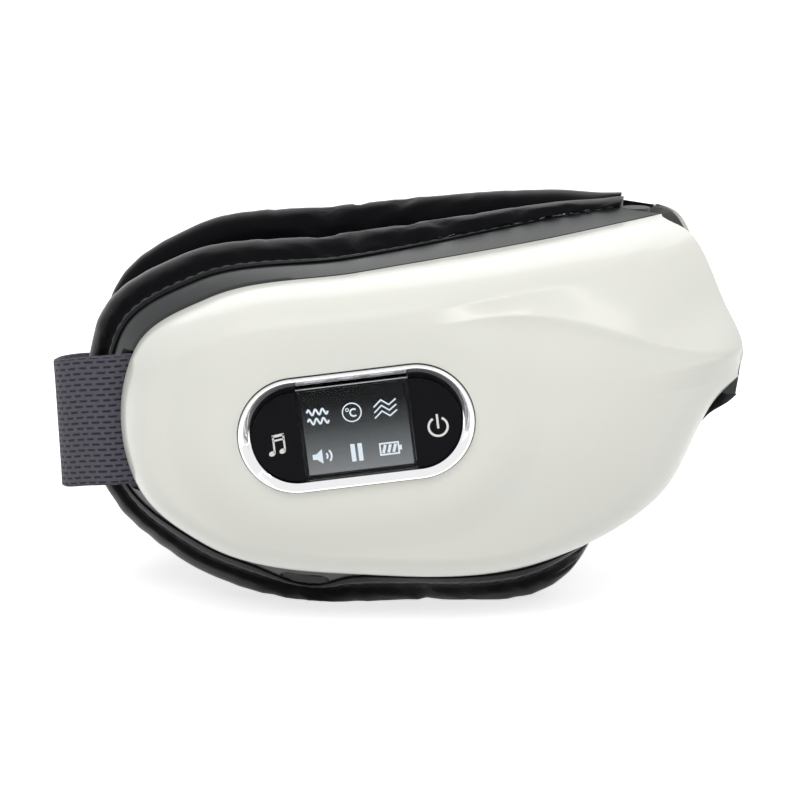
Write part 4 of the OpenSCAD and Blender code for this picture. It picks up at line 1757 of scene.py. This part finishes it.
    def stroke(self, line: list, width: float, rise: float, around: bool = False) -> Piece:
        """A flat band along a line.

        Args:
            line: points along and up the panel.
            width: the band's width.
            rise: the band's foot above the shell.
            around: whether the line closes on itself.

        Returns:
            The band's piece.
        """
        line = np.asarray(line, float)
        if around:
            ahead = np.roll(line, -1, axis=0) - line
            behind = line - np.roll(line, 1, axis=0)
        else:
            ahead = np.diff(line, axis=0, append=line[-1:] * 2 - line[-2:-1])
            behind = np.diff(line, axis=0, prepend=line[:1] * 2 - line[1:2])
        ahead /= np.linalg.norm(ahead, axis=1, keepdims=True)
        behind /= np.linalg.norm(behind, axis=1, keepdims=True)
        left = np.stack([-ahead[:, 1], ahead[:, 0]], axis=1)
        other = np.stack([-behind[:, 1], behind[:, 0]], axis=1)
        mitre = (left + other) / (1 + np.sum(left * other, axis=1, keepdims=True))
        sides = [line + mitre * width / 2, line - mitre * width / 2]
        low = [self.spot(side, rise) for side in sides]
        high = [self.spot(side, rise + self.sign_t) for side in sides]
        rows = np.stack([low[0], high[0], high[1], low[1]])
        piece = Bench.loft("stroke", rows, around=around, closed=True)
        if not around:
            Bench.cap(piece)
        Bench.outward(piece)
        return piece

    def disc(self, middle: tuple, size: tuple, rise: float, corners: int = 24, turn: float = 0.0) -> Piece:
        """Models a flat filled oval.

        Args:
            middle: along and up the panel.
            size: the oval's two radii.
            rise: the oval's foot above the shell.
            corners: points round it.
            turn: how far it is turned, in radians.

        Returns:
            The oval's piece.
        """
        angle = np.linspace(0, 2 * math.pi, corners, endpoint=False)
        oval = np.stack([size[0] * np.cos(angle), size[1] * np.sin(angle)], axis=1)
        swing = np.array([[math.cos(turn), math.sin(turn)], [-math.sin(turn), math.cos(turn)]])
        rim = oval @ swing + middle
        core = 0 * oval + middle
        rows = [self.spot(core, rise), self.spot(rim, rise)]
        rows += [self.spot(rim, rise + self.sign_t), self.spot(core, rise + self.sign_t)]
        piece = Bench.loft("disc", np.stack(rows))
        Bench.outward(piece)
        return piece

    @staticmethod
    def arc(middle: tuple, r: float, start: float, stop: float, count: int = 24) -> Points:
        """Points along a circle, in degrees."""
        turn = np.radians(np.linspace(start, stop, count))
        return np.stack([np.cos(turn), np.sin(turn)], axis=1) * r + middle

    def music_sign(self, finishes: Finishes) -> Piece:
        """Models the two joined notes on the left button.

        Args:
            finishes: the mask's finishes.

        Returns:
            The sign's piece.
        """
        rise = self.top - self.sign_sink
        u, v = self.NOTE
        parts = [
            self.disc((u - 1.0, v - 1.55), (0.62, 0.46), rise, turn=0.35),
            self.disc((u + 0.95, v - 1.25), (0.62, 0.46), rise, turn=0.35),
            self.stroke([[u - 0.52, v - 1.5], [u - 0.52, v + 1.75]], 0.34, rise),
            self.stroke([[u + 1.43, v - 1.2], [u + 1.43, v + 2.0]], 0.34, rise),
            self.stroke([[u - 0.69, v + 1.62], [u + 1.6, v + 1.86]], 0.5, rise),
            self.stroke([[u - 0.6, v + 0.8], [u + 1.5, v + 1.04]], 0.34, rise),
        ]
        return self.finish_sign(parts, "music_sign", "music_button", finishes.ink)

    def power_sign(self, finishes: Finishes) -> Piece:
        """Models the open ring and bar on the right button.

        Args:
            finishes: the mask's finishes.

        Returns:
            The sign's piece.
        """
        rise = self.top - self.sign_sink
        u, v = self.SWITCH
        parts = [
            self.stroke(self.arc((u, v), 1.75, 118, 422, 40), 0.42, rise),
            self.stroke([[u, v - 0.35], [u, v + 2.35]], 0.42, rise),
        ]
        return self.finish_sign(parts, "power_sign", "power_button", finishes.ink)

    def display_signs(self, finishes: Finishes) -> Piece:
        """Models the six display signs, which glow with painted light: waves, warmth, kneading, sound,
        pause and charge.

        Args:
            finishes: the mask's finishes.

        Returns:
            The piece of all six.
        """
        rise = -self.lcd_drop - self.lit_sink
        left, mid, right, upper, lower = -6.8, -0.5, 5.8, 2.8, -4.8
        parts = []
        # Waves.
        for row in (0.82, -0.9):
            u = np.linspace(-1.95, 1.95, 40)
            swing = 0.5 * np.sin((u + 1.95) / 1.3 * 2 * math.pi)
            parts.append(self.stroke(np.stack([left + u, upper + row + swing], axis=1), 0.36, rise))
        # Warmth: a degree sign in a ring.
        parts.append(self.stroke(self.arc((mid, upper), 1.72, 0, 352.5, 48), 0.22, rise, around=True))
        degree = self.arc((mid - 0.82, upper + 0.52), 0.27, 0, 337.5, 16)
        parts.append(self.stroke(degree, 0.15, rise, around=True))
        parts.append(self.stroke(self.arc((mid + 0.34, upper - 0.08), 0.66, 50, 310), 0.3, rise))
        # Kneading.
        for row in (1.05, 0.0, -1.05):
            zig = [[-2.2, -0.62], [-0.75, 0.62], [0.62, -0.42], [2.0, 0.55]]
            parts.append(self.stroke(np.array(zig) + [right, upper + row], 0.26, rise))
        # Sound: a horn, built up of bars, and two arcs.
        parts.append(self.stroke([[left - 1.9, lower], [left - 1.1, lower]], 1.0, rise))
        for share in np.linspace(0.12, 0.95, 6):
            u = left - 1.15 + 1.05 * share
            reach = 0.5 + 0.85 * share
            parts.append(self.stroke([[u, lower - reach], [u, lower + reach]], 0.19, rise))
        for r in (0.75, 1.5):
            parts.append(self.stroke(self.arc((left + 0.1, lower), r, -42, 42), 0.34, rise))
        # Pause.
        for u in (-0.66, 0.66):
            parts.append(self.stroke([[mid + u, lower - 1.65], [mid + u, lower + 1.65]], 0.82, rise))
        # Charge: a battery with three cells.
        case = np.array([[-1.95, -1.05], [1.45, -1.05], [1.45, 1.05], [-1.95, 1.05]]) + [right, lower]
        parts.append(self.stroke(case, 0.3, rise, around=True))
        parts.append(self.stroke([[right + 1.6, lower], [right + 2.05, lower]], 0.9, rise))
        for u in (-1.2, -0.25, 0.7):
            slanted = [[right + u - 0.25, lower - 0.75], [right + u + 0.25, lower + 0.75]]
            parts.append(self.stroke(slanted, 0.52, rise))
        return self.finish_sign(parts, "display_signs", Half.RIGHT.body, finishes.lit)

    @staticmethod
    def finish_sign(parts: Pieces, name: str, body: str, material: bpy.types.Material) -> Piece:
        """Joins a sign's strokes and lets them ride on their body.

        Args:
            parts: the strokes.
            name: the sign's name.
            body: the body that it moves with.
            material: what it wears.

        Returns:
            The sign's piece.
        """
        piece = Bench.join(parts, name)
        Bench.dress(piece, material)
        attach(piece, body)
        return piece

    def window(self, finishes: Finishes) -> Piece:
        """Models the display's clear window with rounded edges.

        Args:
            finishes: the mask's finishes.

        Returns:
            The window's piece.
        """
        foot = -self.lcd_drop + self.form.seat_gap
        tall = self.form.bezel_h / 2 - self.rim_w - self.pane_gap
        wide = self.lcd_w / 2
        corner = np.array([[-wide, -tall], [wide, -tall], [wide, tall], [-wide, tall]])
        corner[:, 1] -= self.inner_drop
        rows = np.stack([self.spot(corner, foot), self.spot(corner, self.top)])
        piece = Bench.loft("window_pane", rows)
        Bench.cap(piece)
        Bench.outward(piece)
        Bench.modify(piece, "BEVEL", width=self.pane_round * MM, segments=2, limit_method="ANGLE")
        Bench.smooth(piece, 12)
        Bench.dress(piece, finishes.window)
        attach(piece, Half.RIGHT.body)
        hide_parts("display_window")
        return piece

    def light(self, module: Piece) -> None:
        """Dresses the display module in its face with a painted reflection.

        Args:
            module: the display module's node.
        """
        tilt = math.radians(self.form.panel_tilt)
        up = (-math.sin(tilt), 0.0, math.cos(tilt))
        level = float(np.dot(self.spot(np.zeros(2), 0.0), up))
        reach = (self.form.bezel_h / 2 - self.rim_w) * MM
        Bench.dress(module, LitDisplay(up, level - reach, level + reach).material())

    def build(self, finishes: Finishes) -> Pieces:
        """Models and dresses the panel.

        Args:
            finishes: the mask's finishes.

        Returns:
            The panel's pieces.
        """
        return [
            self.bezel(finishes),
            self.seal(finishes),
            self.key("music_button", -1.0, finishes),
            self.key("power_button", 1.0, finishes),
            self.music_sign(finishes),
            self.power_sign(finishes),
            self.window(finishes),
            self.display_signs(finishes),
        ]


@dataclass
class Mechanism:
    """Hinge, bars and all that is inside, kept as built and given their finishes."""

    def dress(self, nodes: dict, finishes: Finishes) -> None:
        """Gives each kept node its finish.

        Args:
            nodes: the CAD nodes by name.
            finishes: the mask's finishes.
        """
        wear = {
            "hinge_leaf": finishes.frame, "hinge_cap": finishes.frame, "hinge_pin": finishes.steel,
            "strap_bar": finishes.steel, "strap_patch": finishes.loop, "chassis": finishes.frame,
            "heat_film": finishes.film, "air_bag": finishes.bag, "vibration_motor": finishes.steel,
            "panel_tray": finishes.frame, "panel_board": finishes.board, "main_board": finishes.board,
            "board_screws": finishes.steel, "air_pump": finishes.steel, "air_valve": finishes.valve,
            "charge_socket": finishes.frame, "charge_board": finishes.board, "battery": finishes.cell,
        }  # fmt: skip
        for stem, material in wear.items():
            for name in (stem, f"right_{stem}", f"left_{stem}"):
                if name in nodes:
                    Bench.dress(nodes[name], material)


@dataclass(frozen=True)
class SoftBox:
    """A rectangular lamp aimed at the object, mirrored in gloss or not."""

    name: str
    spot: tuple
    size: tuple
    power: float
    mirrored: bool
    lean: float = 0.0
    aim: tuple = (0.0, 0.0, 0.04)

    def build(self) -> None:
        """Sets up the lamp."""
        light = bpy.data.lights.new(self.name, "AREA")
        light.shape = "RECTANGLE"
        light.size, light.size_y = self.size
        light.energy = self.power
        lamp = bpy.data.objects.new(self.name, light)
        bpy.context.scene.collection.objects.link(lamp)
        lamp.location = self.spot
        lamp.visible_glossy = self.mirrored
        lamp.rotation_mode = "QUATERNION"
        way = Vector(self.aim) - Vector(self.spot)
        turn = Quaternion((0, 0, 1), math.radians(self.lean))
        lamp.rotation_quaternion = way.to_track_quat("-Z", "Y") @ turn


@dataclass
class Studio:
    """Pale floor, soft light and the camera."""

    target: tuple = (0.0003, -0.030, 0.0418)
    elevation: float = 12.0
    distance: float = 0.56
    lens: float = 132.6
    sensor: float = 36.0
    ambient: float = 0.36
    floor_size: float = 6.0
    floor_glow: float = 0.72

    LAMPS = [
        SoftBox("top_box", (0.0, 0.5, 0.55), (0.9, 0.4), 1.2, True),
        SoftBox("left_box", (-0.3, -0.55, 0.85), (0.8, 0.7), 5.4, False),
        SoftBox("right_box", (0.53, -0.28, 0.71), (0.35, 0.3), 1.1, False),
        SoftBox("strip_box", (0.38, -0.68, 0.61), (0.52, 0.04), 0.5, True, 35.0),
        SoftBox("brow_strip", (0.58, -0.26, 0.68), (0.3, 0.05), 0.14, True, -43.0),
    ]

    @staticmethod
    def pale(tree: bpy.types.NodeTree) -> bpy.types.NodeSocket:
        """Tells the rays that show the background: seen, mirrored or through glass.

        Args:
            tree: the nodes that ask.

        Returns:
            A value of 1 for such rays and 0 for all others.
        """
        path = tree.nodes.new("ShaderNodeLightPath")
        total = path.outputs["Is Camera Ray"]
        for name in ("Is Glossy Ray", "Is Transmission Ray"):
            step = tree.nodes.new("ShaderNodeMath")
            step.operation = "MAXIMUM"
            tree.links.new(total, step.inputs[0])
            tree.links.new(path.outputs[name], step.inputs[1])
            total = step.outputs[0]
        return total

    def world(self) -> None:
        """White surroundings that light the object softly."""
        world = bpy.data.worlds.new("white_room")
        bpy.context.scene.world = world
        world.use_nodes = True
        tree = world.node_tree
        back = tree.nodes["Background"]
        level = tree.nodes.new("ShaderNodeMapRange")
        level.inputs["To Min"].default_value = self.ambient
        level.inputs["To Max"].default_value = 1.0
        tree.links.new(self.pale(tree), level.inputs["Value"])
        tree.links.new(level.outputs["Result"], back.inputs["Strength"])
        back.inputs["Color"].default_value = (1, 1, 1, 1)

    def floor(self) -> None:
        """Pale floor that keeps the object's shadow."""
        Bench.clear()
        bpy.ops.mesh.primitive_plane_add(size=self.floor_size)
        floor = bpy.context.object
        floor.name = "floor"
        s = Shader("pale_floor")
        s.set(Base_Color=(0.8, 0.8, 0.8, 1.0), Roughness=0.9, Specular_IOR_Level=0.0)
        shine = s.math("MULTIPLY", self.pale(s.tree), self.floor_glow)
        s.set(Emission_Color=(1, 1, 1, 1), Emission_Strength=shine)
        Bench.dress(floor, s.material)

    def camera(self) -> None:
        """Camera at the photograph's viewing angle."""
        data = bpy.data.cameras.new("camera")
        data.sensor_width = self.sensor
        data.lens = self.lens
        camera = bpy.data.objects.new("camera", data)
        bpy.context.scene.collection.objects.link(camera)
        rise = math.radians(self.elevation)
        back = Vector((0, -math.cos(rise), math.sin(rise)))
        camera.location = Vector(self.target) + back * self.distance
        camera.rotation_mode = "QUATERNION"
        camera.rotation_quaternion = (-back).to_track_quat("-Z", "Y")
        bpy.context.scene.camera = camera

    def build(self) -> None:
        """Sets up floor, light and camera."""
        bpy.context.scene.view_settings.view_transform = "Standard"
        self.world()
        self.floor()
        for lamp in self.LAMPS:
            lamp.build()
        self.camera()


def main() -> None:
    """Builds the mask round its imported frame."""
    logging.basicConfig(level=logging.INFO, format="%(name)s: %(message)s")
    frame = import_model()
    nodes = frame["nodes"]
    hinge = next(joint for joint in frame["joints"] if joint["name"] == "fold_hinge")
    form = MaskForm(hinge_x=hinge["pos_m"][0] / MM)
    finishes = Finishes()
    Studio().build()
    Mechanism().dress(nodes, finishes)
    pieces = []
    for half in Half:
        for maker in (FrontShell, RearHousing, FaceCushion, EyePad, ElasticStrap):
            pieces += maker(form, half).build(finishes)
    panel = ControlPanel(form)
    pieces += panel.build(finishes)
    panel.light(nodes["display_module"])
    for piece in pieces:
        log.info("%s: %d faces", piece.name, len(piece.data.polygons))
    Bench.clear()


if __name__ == "__main__":
    main()
